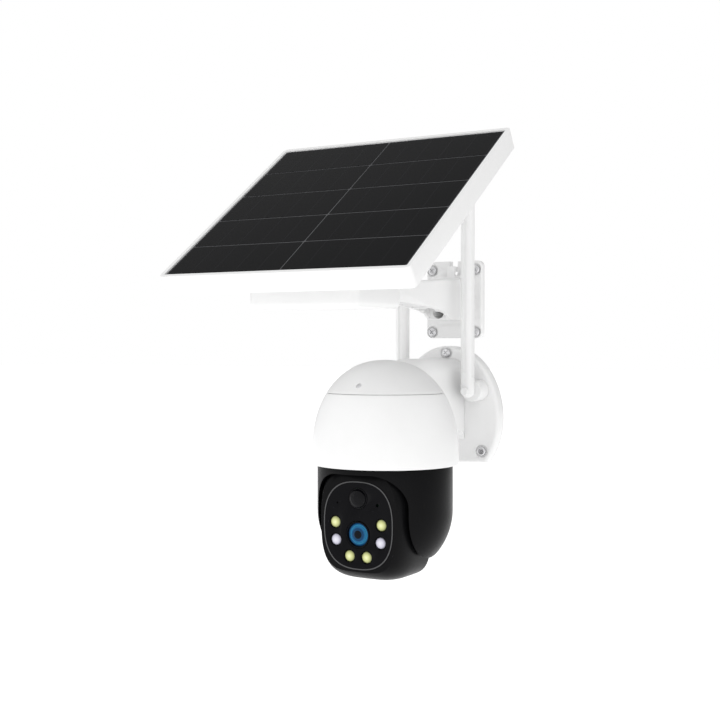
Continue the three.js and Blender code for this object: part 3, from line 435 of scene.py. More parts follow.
class Bench:
    """Shapes pieces with Blender's own tools. Every size and place that it takes is in millimetres."""

    @staticmethod
    def clear() -> None:
        """Leaves edit mode and selects nothing."""
        if bpy.context.mode != "OBJECT":
            bpy.ops.object.mode_set(mode="OBJECT")
        bpy.ops.object.select_all(action="DESELECT")

    @staticmethod
    def pick(piece: bpy.types.Object) -> None:
        """Selects one piece alone and makes it active."""
        Bench.clear()
        piece.select_set(True)
        bpy.context.view_layer.objects.active = piece

    @staticmethod
    def edit(piece: bpy.types.Object, everything: bool = True) -> None:
        """Opens a piece in edit mode with everything or nothing selected."""
        Bench.pick(piece)
        bpy.ops.object.mode_set(mode="EDIT")
        bpy.ops.mesh.select_all(action="SELECT" if everything else "DESELECT")

    @staticmethod
    def settle(piece: bpy.types.Object) -> bpy.types.Object:
        """Puts a piece's place, turn and scale into its mesh, and gives the piece back."""
        Bench.pick(piece)
        bpy.ops.object.transform_apply(location=True, rotation=True, scale=True)
        return piece

    @staticmethod
    def tidy(piece: bpy.types.Object) -> bpy.types.Object:
        """Merges doubled vertices and turns every face outwards.

        Args:
            piece: the piece, whose mesh changes.

        Returns:
            The same piece.
        """
        Bench.edit(piece)
        bpy.ops.mesh.remove_doubles(threshold=1e-6)
        bpy.ops.mesh.dissolve_degenerate(threshold=1e-7)
        bpy.ops.mesh.select_all(action="SELECT")
        bpy.ops.mesh.normals_make_consistent(inside=False)
        bpy.ops.object.mode_set(mode="OBJECT")
        return piece

    @staticmethod
    def chain(points: Sequence[Point], face: bool) -> bpy.types.Object:
        """Draws a line of edges by extruding one vertex from point to point.

        Args:
            points: the line's points.
            face: whether the line is closed and filled.

        Returns:
            The new object, still in edit mode with everything selected.
        """
        Bench.clear()
        steps = [Vector(p) * MM for p in points]
        bpy.ops.mesh.primitive_plane_add(size=MM, location=steps[0])
        bpy.ops.object.mode_set(mode="EDIT")
        bpy.ops.mesh.merge(type="CENTER")
        for before, after in zip(steps, steps[1:]):
            bpy.ops.mesh.extrude_region_move(TRANSFORM_OT_translate={"value": after - before})
        bpy.ops.mesh.select_all(action="SELECT")
        if face:
            bpy.ops.mesh.edge_face_add()
        return bpy.context.active_object

    @staticmethod
    def turned(
        profile: Sequence[Sequence[float]], axis: Axis, centre: Point = (0.0, 0.0, 0.0), steps: int = 96
    ) -> bpy.types.Object:
        """Spins a profile about an axis.

        Args:
            profile: [radius, height along the axis] points, from axis to axis or closed on itself.
            axis: what it is spun about.
            centre: where on the row frame the profile's height 0 is.
            steps: how many steps a full turn has.

        Returns:
            The closed, turned piece.
        """
        along = Vector(axis.value)
        side = Vector((0.0, 0.0, 1.0)) if axis is not Axis.UP else Vector((1.0, 0.0, 0.0))
        middle = Vector(centre)
        piece = Bench.chain([middle + side * r + along * h for r, h in profile], face=False)
        bpy.ops.mesh.spin(steps=steps, angle=2 * math.pi, center=middle * MM, axis=along)
        bpy.ops.object.mode_set(mode="OBJECT")
        return Bench.tidy(Bench.settle(piece))

    @staticmethod
    def slab(outline: Sequence[Point], depth: Point) -> bpy.types.Object:
        """Fills an outline and extrudes it.

        Args:
            outline: points in one plane, not closed on themselves.
            depth: the extrusion as a vector.

        Returns:
            The closed piece.
        """
        piece = Bench.chain(outline, face=True)
        bpy.ops.mesh.extrude_region_move(TRANSFORM_OT_translate={"value": Vector(depth) * MM})
        bpy.ops.object.mode_set(mode="OBJECT")
        return Bench.tidy(Bench.settle(piece))

    @staticmethod
    def loft(
        outline: Sequence[tuple[float, float]], stations: Sequence[tuple[float, float]]
    ) -> bpy.types.Object:
        """Extrudes an outline along X and scales it about the X axis at every station.

        Args:
            outline: its [y, z] points, not closed on themselves.
            stations: [x, scale] pairs.

        Returns:
            The closed piece.
        """
        x, scale = stations[0]
        piece = Bench.chain([(x, y * scale, z * scale) for y, z in outline], face=True)
        for next_x, next_scale in stations[1:]:
            bpy.ops.mesh.extrude_region_move(TRANSFORM_OT_translate={"value": ((next_x - x) * MM, 0.0, 0.0)})
            share = next_scale / scale
            bpy.ops.transform.resize(value=(1.0, share, share), center_override=(0.0, 0.0, 0.0))
            x, scale = next_x, next_scale
        bpy.ops.object.mode_set(mode="OBJECT")
        return Bench.tidy(Bench.settle(piece))

    @staticmethod
    def block(low: Point, high: Point) -> bpy.types.Object:
        """Makes a block between two corners, ready to be cut, joined or bevelled."""
        Bench.clear()
        bottom, top = Vector(low) * MM, Vector(high) * MM
        bpy.ops.mesh.primitive_cube_add(size=1.0, location=(bottom + top) / 2)
        bpy.context.active_object.scale = top - bottom
        return Bench.settle(bpy.context.active_object)

    @staticmethod
    def rod(radius: float, start: Point, end: Point, sides: int = 48) -> bpy.types.Object:
        """Makes a cylinder from one point to another, ready to be cut or joined."""
        Bench.clear()
        first, last = Vector(start) * MM, Vector(end) * MM
        span = last - first
        bpy.ops.mesh.primitive_cylinder_add(
            vertices=sides, radius=radius * MM, depth=span.length, location=(first + last) / 2
        )
        rod = bpy.context.active_object
        rod.rotation_euler = span.to_track_quat("Z", "Y").to_euler()
        return Bench.settle(rod)

    @staticmethod
    def combine(
        piece: bpy.types.Object, others: Sequence[bpy.types.Object], operation: str
    ) -> bpy.types.Object:
        """Joins others to a piece, cuts them from it, or keeps what they share with it.

        Args:
            piece: the piece that changes.
            others: the tools, which are used up.
            operation: UNION, DIFFERENCE or INTERSECT.

        Returns:
            The piece.
        """
        for other in others:
            Bench.pick(piece)
            modifier = piece.modifiers.new("combine", "BOOLEAN")
            modifier.object = other
            modifier.operation = operation
            modifier.solver = "EXACT"
            bpy.ops.object.modifier_apply(modifier=modifier.name)
            bpy.data.objects.remove(other)
        return piece

    @staticmethod
    def cut(piece: bpy.types.Object, *tools: bpy.types.Object) -> bpy.types.Object:
        """Cuts tools out of a piece and gives the piece back."""
        return Bench.combine(piece, tools, "DIFFERENCE")

    @staticmethod
    def weld(piece: bpy.types.Object, *others: bpy.types.Object) -> bpy.types.Object:
        """Joins others to a piece and gives the piece back."""
        return Bench.combine(piece, others, "UNION")

    @staticmethod
    def common(piece: bpy.types.Object, *others: bpy.types.Object) -> bpy.types.Object:
        """Keeps what a piece shares with the others and gives the piece back."""
        return Bench.combine(piece, others, "INTERSECT")

    @staticmethod
    def copy(piece: bpy.types.Object, shift: Point = (0.0, 0.0, 0.0)) -> bpy.types.Object:
        """Copies a piece with its own mesh, moved by a shift."""
        twin = piece.copy()
        twin.data = piece.data.copy()
        bpy.context.collection.objects.link(twin)
        twin.location = Vector(shift) * MM
        return Bench.settle(twin)

    @staticmethod
    def place(piece: bpy.types.Object, lean: float, at: Point) -> bpy.types.Object:
        """Turns a piece about the X axis by an angle, then moves it, and settles both."""
        piece.rotation_euler = (lean, 0.0, 0.0)
        piece.location = Vector(at) * MM
        return Bench.settle(piece)

    @staticmethod
    def round_edges(
        piece: bpy.types.Object, width: float, segments: int,
        where: Test = lambda middle: True, sharp: float = 40.0,
    ) -> bpy.types.Object:
        """Rounds the sharp edges whose middles pass a test.

        Args:
            piece: the piece.
            width: of the rounding, in millimetres.
            segments: steps across the rounding.
            where: takes an edge's middle, in millimetres.
            sharp: the least angle of an edge that counts, in degrees.

        Returns:
            The piece.
        """
        Bench.edit(piece, everything=False)
        bpy.ops.mesh.select_mode(type="EDGE")
        bpy.ops.mesh.edges_select_sharp(sharpness=math.radians(sharp))
        bpy.ops.object.mode_set(mode="OBJECT")
        mesh = piece.data
        chosen = []
        for edge in mesh.edges:
            middle = (mesh.vertices[edge.vertices[0]].co + mesh.vertices[edge.vertices[1]].co) / (2 * MM)
            if edge.select and where(middle):
                chosen.append(edge.index)
        for items in (mesh.vertices, mesh.edges, mesh.polygons):
            items.foreach_set("select", [False] * len(items))
        for index in chosen:
            mesh.edges[index].select = True
        bpy.ops.object.mode_set(mode="EDIT")
        if chosen:
            bpy.ops.mesh.bevel(
                offset=width * MM, segments=segments, profile=0.5, affect="EDGES", clamp_overlap=True
            )
        bpy.ops.mesh.select_mode(type="VERT")
        bpy.ops.object.mode_set(mode="OBJECT")
        return piece

    @staticmethod
    def soften(
        piece: bpy.types.Object, width: float, segments: int = 2, angle: float = 35.0
    ) -> bpy.types.Object:
        """Gives every sharp edge a small moulded radius by an applied Bevel modifier.

        Args:
            piece: the piece.
            width: the radius, in millimetres.
            segments: steps across it.
            angle: the least angle of an edge that counts, in degrees.

        Returns:
            The piece.
        """
        Bench.pick(piece)
        modifier = piece.modifiers.new("soften", "BEVEL")
        modifier.width = width * MM
        modifier.segments = segments
        modifier.limit_method = "ANGLE"
        modifier.angle_limit = math.radians(angle)
        modifier.use_clamp_overlap = True
        bpy.ops.object.modifier_apply(modifier=modifier.name)
        return piece

    @staticmethod
    def finish(
        piece: bpy.types.Object, name: str, body: str, slot: Slot, look: Finish, stands_for: Sequence[str] = ()
    ) -> bpy.types.Object:
        """Names, shades and dresses a piece and hands it to the frame.

        Args:
            piece: the finished mesh.
            name: its name.
            body: the CAD body that it moves with.
            slot: the record's material slot; not used.
            look: its finish.
            stands_for: the CAD nodes that it replaces.

        Returns:
            The piece.
        """
        Bench.pick(piece)
        piece.name = name
        piece.data.name = name
        bpy.ops.object.shade_smooth_by_angle(angle=math.radians(38))
        piece.data.materials.clear()
        piece.data.materials.append(look.material())
        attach(piece, body)
        if stands_for:
            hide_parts(*stands_for)
        LOG.info("%s: %d faces on %s", name, len(piece.data.polygons), body)
        return piece


def rounded_rect(half_x: float, half_y: float, corner: float, steps: int = 8) -> list[tuple[float, float]]:
    """Gives the outline of a rectangle with round corners about the origin.

    Args:
        half_x: half its width.
        half_y: half its height.
        corner: the corners' radius.
        steps: steps round each corner.

    Returns:
        Its points, anticlockwise.
    """
    points = []
    for quarter, (sx, sy) in enumerate(((1, 1), (-1, 1), (-1, -1), (1, -1))):
        for i in range(steps + 1):
            turn = math.pi / 2 * (quarter + i / steps)
            x = sx * (half_x - corner) + corner * math.cos(turn)
            y = sy * (half_y - corner) + corner * math.sin(turn)
            points.append((x, y))
    return points


def bend(value: float, power: float) -> float:
    """Gives a signed power, the building block of a superellipse."""
    return math.copysign(abs(value) ** power, value)


# ---------------------------------------------------------------------------------------------
# Shared hardware
# ---------------------------------------------------------------------------------------------


@dataclass
class WallScrew:
    """A pan-head wall screw with a cross recess."""

    radius: float = 4.0
    height: float = 2.6
    shank: float = 2.0
    recess: float = 1.5

    def model(self, length: float) -> bpy.types.Object:
        """Makes the screw with its seat on the origin, its head out along -Y.

        Args:
            length: from the seat to the tip.

        Returns:
            The screw.
        """
        profile = [(0.0, -length), (self.shank - 0.8, -length), (self.shank, 0.8 - length)]
        profile += [(self.shank, 0.0), (self.radius - 0.15, 0.0), (self.radius, 0.15)]
        for i in range(7):
            turn = math.pi / 2 * i / 6
            reach = self.radius - 1.6 * (1 - math.cos(turn))
            profile.append((reach, self.height * (0.35 + 0.65 * math.sin(turn))))
        profile.append((0.0, self.height))
        screw = Bench.turned(profile, Axis.OUT, steps=32)
        for turn in (50.0, 140.0):
            bar = Bench.block((-2.2, -4.0, -0.45), (2.2, self.recess - self.height, 0.45))
            bar.rotation_euler = (0.0, math.radians(turn), 0.0)
            Bench.cut(screw, Bench.settle(bar))
        return screw

    def build(self, *places: str) -> None:
        """Models the screw once and sets a copy where each CAD screw is.

        Args:
            places: the CAD screws, all of one length.
        """
        low, high = node_box(places[0])
        master = self.model(high.y - low.y - self.height)
        for name in places:
            low, high = node_box(name)
            seat = ((low.x + high.x) / 2, low.y + self.height, (low.z + high.z) / 2)
            Bench.finish(Bench.copy(master, seat), f"{name}_detail", "root", Slot.STEEL, STEEL, [name])
        bpy.data.objects.remove(master)


# ---------------------------------------------------------------------------------------------
# Camera bracket
# ---------------------------------------------------------------------------------------------


@dataclass
class CameraBracket:
    """The wall flange, the arm and the two antennas."""

    half_width: float = 50.6
    centre_z: float = -11.0
    up: float = 64.0
    down: float = 60.0
    foot_z: float = -52.7
    depth: float = 12.0
    rim: float = 4.0
    screws: tuple[tuple[float, float], ...] = ((0.0, 47.0), (-34.5, -39.8), (34.5, -39.8))
    arm_half: float = 18.0
    arm_top: float = 42.0
    arm_bottom: float = -20.0
    arm_end: float = -99.0
    ramp: tuple[float, float] = (-85.0, 0.32)
    flare: float = 10.0
    pivot_x: float = 31.8
    pivot_z: float = 14.0
    antenna_y: float = -35.0
    antenna_top: float = 209.0

    def egg(self, inset: float, y: float) -> list[tuple[float, float, float]]:
        """Gives the flange's outline, drawn in by an inset, at a depth y."""
        wide, low = self.half_width - inset, self.down - inset
        foot = math.asin((self.centre_z - self.foot_z - inset) / low)
        points = []
        for i in range(49):
            turn = math.pi * i / 48
            points.append((wide * math.cos(turn), y, self.centre_z + (self.up - inset) * math.sin(turn)))
        for start, end in ((math.pi, math.pi + foot), (2 * math.pi - foot, 2 * math.pi)):
            for i in range(1, 13):
                turn = start + (end - start) * i / 12
                points.append((wide * math.cos(turn), y, self.centre_z + low * math.sin(turn)))
        return points[:-1]

    def flange(self) -> None:
        """The egg-shaped flange: round front rim, sunk screw seats, hollow back with a middle pad."""
        plate = Bench.slab(self.egg(0.0, 0.0), (0.0, -self.depth, 0.0))
        front = -self.depth
        Bench.round_edges(plate, 3.0, 6, lambda m: m.y < front + 0.1)
        web = self.rim - self.depth
        hollow = Bench.slab(self.egg(self.rim, 1.0), (0.0, web - 1.0, 0.0))
        Bench.cut(hollow, Bench.block((-self.arm_half, -20.0, -80.0), (self.arm_half, 5.0, 80.0)))
        for x, z in self.screws:
            Bench.cut(hollow, Bench.rod(9.0, (x, 5.0, z), (x, web - 2.0, z)))
        Bench.cut(plate, hollow)
        for x, z in self.screws:
            seat = [(0.0, -2.0), (2.6, -2.0), (2.6, 10.5), (5.5, 10.5), (5.5, 11.4), (6.3, 12.4), (0.0, 12.4)]
            Bench.cut(plate, Bench.turned(seat, Axis.OUT, (x, 0.0, z), 48))
        Bench.soften(plate, 0.4)
        Bench.finish(plate, "wall_flange", "root", Slot.WHITE, WHITE, ["camera_wall_flange"])
        WallScrew().build("flange_screw_top", "flange_screw_left", "flange_screw_right")

    def arm_body(self, inset: float) -> bpy.types.Object:
        """Makes the arm's solid, drawn in by an inset: its top slopes down where it meets the dome."""
        wall = inset - self.depth - GAP
        top, bottom, end = self.arm_top - inset, self.arm_bottom + inset, self.arm_end
        half, (bend_y, slope) = self.arm_half - inset, self.ramp
        drop = slope * (bend_y - end)
        side = [(-half, wall, top), (-half, bend_y, top), (-half, end, top - drop), (-half, end, bottom)]
        side.append((-half, wall - 26.0, bottom))
        for i in range(1, 11):
            share = i / 10
            y = wall - 26.0 + 26.0 * share * (2 - share) * (1 - 0.12 * (1 - share))
            side.append((-half, y, bottom - self.flare * share**2.2))
        body = Bench.slab(side, (2 * half, 0.0, 0.0))
        Bench.round_edges(
            body, 13.0 - inset, 10, lambda m: m.z > top - 3.0 and abs(m.x) > half - 0.1 and m.y < wall - 0.1
        )
        return Bench.round_edges(
            body, 6.5 - inset * 0.6, 6,
            lambda m: m.z < bottom + 0.1 and abs(m.x) > half - 0.1 and m.y < wall - 0.1,
        )

    def arm(self, dome: "Dome") -> None:
        """The hollow arm, cut to the dome's round back, with the grommet's bore below.

        Args:
            dome: gives the surface that the arm meets.
        """
        body = self.arm_body(0.0)
        Bench.cut(body, self.arm_body(3.0))
        duct_half = self.arm_half - 4.0
        low, high = self.arm_bottom + 4.0, self.arm_top - 10.0
        Bench.cut(body, Bench.block((-duct_half, -20.0, low), (duct_half, 0.0, high)))
        Bench.cut(body, Bench.turned(dome.outer(-0.25, dome.crown_z + 0.25), Axis.UP, (0.0, dome.y, 0.0), 128))
        low, high = node_box("arm_grommet")
        middle = (low + high) / 2
        under = self.arm_bottom
        Bench.cut(body, Bench.rod(5.3, (0.0, middle.y, under - 20), (0.0, middle.y, under + 5)))
        Bench.soften(body, 0.4)
        Bench.finish(body, "arm_shell", "root", Slot.WHITE, WHITE, ["camera_arm"])

    def hub(self) -> bpy.types.Object:
        """Makes the left antenna's round hub, with its pin and a ring of grip grooves."""
        low, high = node_box("antenna_hub_left")
        radius, face, tip = 9.5, 28.0, -low.y
        profile = [(0.0, -high.y), (radius, -high.y), (radius, face - 3.4), (radius - 0.5, face - 3.0)]
        profile += [(radius - 0.5, face - 2.6), (radius, face - 2.2), (radius, face - 1.0)]
        profile.append((radius - 0.3, face - 0.3))
        profile += [(radius - 1.0, face), (2.5, face), (2.5, tip - 1.2), (3.8, tip - 1.2), (3.6, tip - 0.6)]
        profile += [(3.1, tip), (0.0, tip)]
        return Bench.turned(profile, Axis.OUT, (-self.pivot_x, 0.0, self.pivot_z), 64)

    def antenna(self) -> bpy.types.Object:
        """Makes the left paddle: round foot, flattened sides, a long groove down its front and its back."""
        x, y, radius, top = -self.pivot_x, self.antenna_y, 6.0, self.antenna_top
        profile = []
        for i in range(9):
            turn = math.pi / 2 * i / 8
            profile.append((radius * math.sin(turn), self.pivot_z - radius * math.cos(turn)))
        for i in range(7):
            turn = math.pi / 2 * i / 6
            profile.append((radius - 3.0 + 3.0 * math.cos(turn), top - 3.0 + 3.0 * math.sin(turn)))
        profile.append((0.0, top))
        paddle = Bench.turned(profile, Axis.UP, (x, y, 0.0), 48)
        for edge in (-1, 1):
            near, far = sorted((x + edge * 5.0, x + edge * 10.0))
            Bench.cut(paddle, Bench.block((near, y - 9, self.pivot_z + 12), (far, y + 9, top - 9)))
            face = y + edge * (radius - 0.3)
            groove = Bench.block((x - 1.1, face - 0.5, self.pivot_z + 16), (x + 1.1, face + 0.5, top - 12))
            Bench.cut(paddle, groove)
        Bench.cut(paddle, Bench.rod(2.8, (x, y - 10, self.pivot_z), (x, y + 10, self.pivot_z)))
        return Bench.soften(paddle, 0.3, 2, 30.0)

    def antennas(self) -> None:
        """Models a hub and a paddle once and sets both on each side."""
        hub, paddle = self.hub(), self.antenna()
        for side, shift in (("left", 0.0), ("right", 2 * self.pivot_x)):
            name = f"antenna_hub_{side}"
            Bench.finish(Bench.copy(hub, (shift, 0.0, 0.0)), f"{name}_shell", "root", Slot.WHITE, WHITE, [name])
            name = f"antenna_{side}"
            blade = Bench.copy(paddle, (shift, 0.0, 0.0))
            Bench.finish(blade, f"{name}_paddle", name, Slot.WHITE, WHITE, [name])
        for master in (hub, paddle):
            bpy.data.objects.remove(master)

    def build(self, dome: "Dome") -> None:
        """Builds the whole bracket.

        Args:
            dome: the housing that the arm carries.
        """
        self.flange()
        self.arm(dome)
        self.antennas()


# ---------------------------------------------------------------------------------------------
# Dome
# ---------------------------------------------------------------------------------------------


@dataclass
class Dome:
    """The white bullet-shaped housing, its cap and the cap's screw."""

    y: float = -125.0
    radius: float = 60.0
    centre_z: float = -36.0
    crown_z: float = 41.7
    power: float = 2.2
    rim_z: float = -42.4
    seam_z: float = 15.0
    wall: float = 2.5
    cap_wall: float = 4.0
    ledge: tuple[float, float, float] = (54.5, -31.2, -33.2)
    screw_z: float = 22.0

    def curve(self, start: float, end: float, inset: float, steps: int = 20) -> list[tuple[float, float]]:
        """Gives the dome's profile between two heights.

        Args:
            start: the first height.
            end: the last height.
            inset: how far it is drawn in.
            steps: how many steps it has.

        Returns:
            [radius, height] points.
        """
        height = self.crown_z - self.centre_z - inset
        share = [min(max((z - self.centre_z) / height, 0.0), 1.0) for z in (start, end)]
        first, last = (math.asin(s ** (self.power / 2)) for s in share)
        points = []
        for i in range(steps + 1):
            turn = first + (last - first) * i / steps
            radius = (self.radius - inset) * max(math.cos(turn), 0.0) ** (2 / self.power)
            points.append((radius, self.centre_z + height * math.sin(turn) ** (2 / self.power)))
        return points

    def radius_at(self, z: float, inset: float = 0.0) -> float:
        """Gives the dome's radius at a height, drawn in by an inset."""
        return self.curve(z, z, inset, 1)[0][0]

    def outer(self, inset: float, top: float) -> list[tuple[float, float]]:
        """Gives the closed profile of the whole dome up to a height, drawn in by an inset."""
        rim = [(0.0, self.rim_z), (self.radius - inset, self.rim_z)]
        return [*rim, *self.curve(self.centre_z, top, inset, 40)]

    def housing(self) -> None:
        """The housing below the seam: lip at the rim, chamfered seam, chassis ledge, duct at the back."""
        top, rebate = self.seam_z - GAP / 2, self.seam_z - GAP / 2 - 1.6
        inner = self.radius - self.wall
        edge = self.radius_at(top)
        profile = [(inner, self.rim_z + 0.5), (inner + 0.5, self.rim_z), (self.radius - 0.9, self.rim_z)]
        profile += [(self.radius - 0.3, self.rim_z + 0.3), (self.radius, self.rim_z + 0.9)]
        profile += self.curve(self.centre_z, top - 0.5, 0.0, 28)
        profile += [(edge - 0.35, top), (edge - 1.2, top), (edge - 1.2, rebate)]
        ledge, high, low = self.ledge
        profile += [p for p in self.curve(rebate, self.centre_z, self.wall, 20) if p[1] > high + 0.2]
        profile += [(inner, high), (ledge, high), (ledge, low), (inner, low), profile[0]]
        shell = Bench.turned(profile, Axis.UP, (0.0, self.y, 0.0), 128)
        rear = self.y + self.radius
        Bench.cut(shell, Bench.block((-8.0, rear - 20.0, -12.0), (8.0, rear + 1.0, 8.0)))
        Bench.finish(shell, "housing_shell", "root", Slot.WHITE, WHITE, ["upper_housing"])

    def cap(self) -> None:
        """The cap above the seam, with a sunk seat for its screw at the front."""
        rim = self.seam_z + GAP / 2
        edge = self.radius_at(rim)
        profile = self.curve(self.crown_z, self.seam_z - 4, self.cap_wall, 18)
        profile += self.curve(self.seam_z - 4, rim, self.wall + GAP, 3)
        profile += [(edge - 0.35, rim), *self.curve(rim + 0.5, self.crown_z, 0.0, 24)]
        cap = Bench.turned(profile, Axis.UP, (0.0, self.y, 0.0), 128)
        reach = self.radius_at(self.screw_z)
        height = self.crown_z - self.centre_z
        rise = ((self.screw_z - self.centre_z) / height) ** (self.power - 1)
        run = (reach / self.radius) ** (self.power - 1)
        slope = math.atan2(rise / height, run / self.radius)
        out = Vector((0.0, -math.cos(slope), math.sin(slope)))
        seat = Vector((0.0, self.y - reach, self.screw_z))
        Bench.cut(cap, Bench.rod(2.3, seat - out * 0.9, seat + out * 4.0, 32))
        Bench.soften(cap, 0.25, 2, 50.0)
        # The cap's darker white: its own greyer tone plus painted shade for the dim light from above.
        Bench.finish(cap, "cap_shell", "root", Slot.WHITE, CAP_TONE_AND_SHADE, ["top_cap"])
        button = [(0.0, 0.0), (1.8, 0.0), (1.8, 0.4), (1.3, 0.75), (0.0, 0.8)]
        head = Bench.turned(button, Axis.UP, (0.0, 0.0, 0.0), 24)
        for turn in (0.0, math.pi / 2):
            bar = Bench.block((-1.1, -0.22, 0.35), (1.1, 0.22, 2.0))
            bar.rotation_euler = (0.0, 0.0, turn)
            Bench.cut(head, Bench.settle(bar))
        head.rotation_euler = out.to_track_quat("Z", "Y").to_euler()
        head.location = (seat - out * 0.85) * MM
        Bench.finish(Bench.settle(head), "cap_screw", "root", Slot.STEEL, STEEL)

    def build(self) -> None:
        """Builds the housing and the cap."""
        self.housing()
        self.cap()


# ---------------------------------------------------------------------------------------------
# Fork
# ---------------------------------------------------------------------------------------------


@dataclass
class Fork:
    """The black pan housing: a drum with a round bottom, an arched slot and two cheeks."""

    y: float = -125.0
    radius: float = 55.0
    top_z: float = -40.5
    tilt_z: float = -79.0
    wall: float = 2.5
    slot: float = 41.0
    arch_z: float = -47.0
    arch_corner: float = 26.0
    rear_z: float = -71.0

    def drum(self, inset: float, lid: float, bore: float) -> bpy.types.Object:
        """Makes the drum's solid round a middle bore that the slot takes away.

        Args:
            inset: how far it is drawn in.
            lid: its top's height.
            bore: the bore's radius.

        Returns:
            The drum.
        """
        radius = self.radius - inset
        start = math.asin(bore / radius)
        profile = []
        for i in range(19):
            turn = start + (math.pi / 2 - start) * i / 18
            profile.append((radius * math.sin(turn), self.tilt_z - radius * math.cos(turn)))
        profile += [(radius, lid), (bore, lid), profile[0]]
        return Bench.turned(profile, Axis.UP, (0.0, self.y, 0.0), 128)

    def arch(self) -> bpy.types.Object:
        """Makes the tool that opens the slot's arched front."""
        corner, floor = self.arch_corner, self.tilt_z - 80
        points = [(self.slot, floor)]
        for start, side in ((0.0, 1), (math.pi / 2, -1)):
            for i in range(17):
                turn = start + math.pi / 2 * i / 16
                x = side * (self.slot - corner) + corner * math.cos(turn)
                points.append((x, self.arch_z - corner + corner * math.sin(turn)))
        points.append((-self.slot, floor))
        return Bench.slab([(x, self.y + 0.1, z) for x, z in points], (0.0, -80.0, 0.0))

    def build(self) -> None:
        """Builds the housing: shell, cheek walls, arched slot, tilt bearings."""
        shell = self.drum(0.0, self.top_z, 32.0)
        cavity = self.drum(self.wall, self.top_z + 5, 26.0)
        floor, far = self.tilt_z - 80, 80.0
        for side in (-1, 1):
            low, high = sorted((side * (self.slot - 3), side * (self.slot + self.wall)))
            wall = Bench.block((low, self.y - far, floor), (high, self.y + far, self.arch_z + 2))
            Bench.cut(cavity, wall)
        Bench.cut(shell, cavity)
        rear = Bench.block((-self.slot, self.y - 0.4, floor), (self.slot, self.y + far, self.rear_z))
        Bench.cut(shell, Bench.weld(self.arch(), rear))
        boss = Bench.rod(9.0, (50.5, self.y, self.tilt_z), (self.radius - 1.2, self.y, self.tilt_z))
        Bench.weld(shell, boss)
        Bench.cut(shell, Bench.rod(7.3, (-46.0, self.y, self.tilt_z), (46.0, self.y, self.tilt_z)))
        Bench.cut(shell, Bench.rod(3.3, (45.0, self.y, self.tilt_z), (52.5, self.y, self.tilt_z)))
        Bench.soften(shell, 0.7, 3, 32.0)
        Bench.finish(shell, "fork_shell", "pan", Slot.BLACK, BLACK, ["pan_housing"])


# ---------------------------------------------------------------------------------------------
# Head
# ---------------------------------------------------------------------------------------------


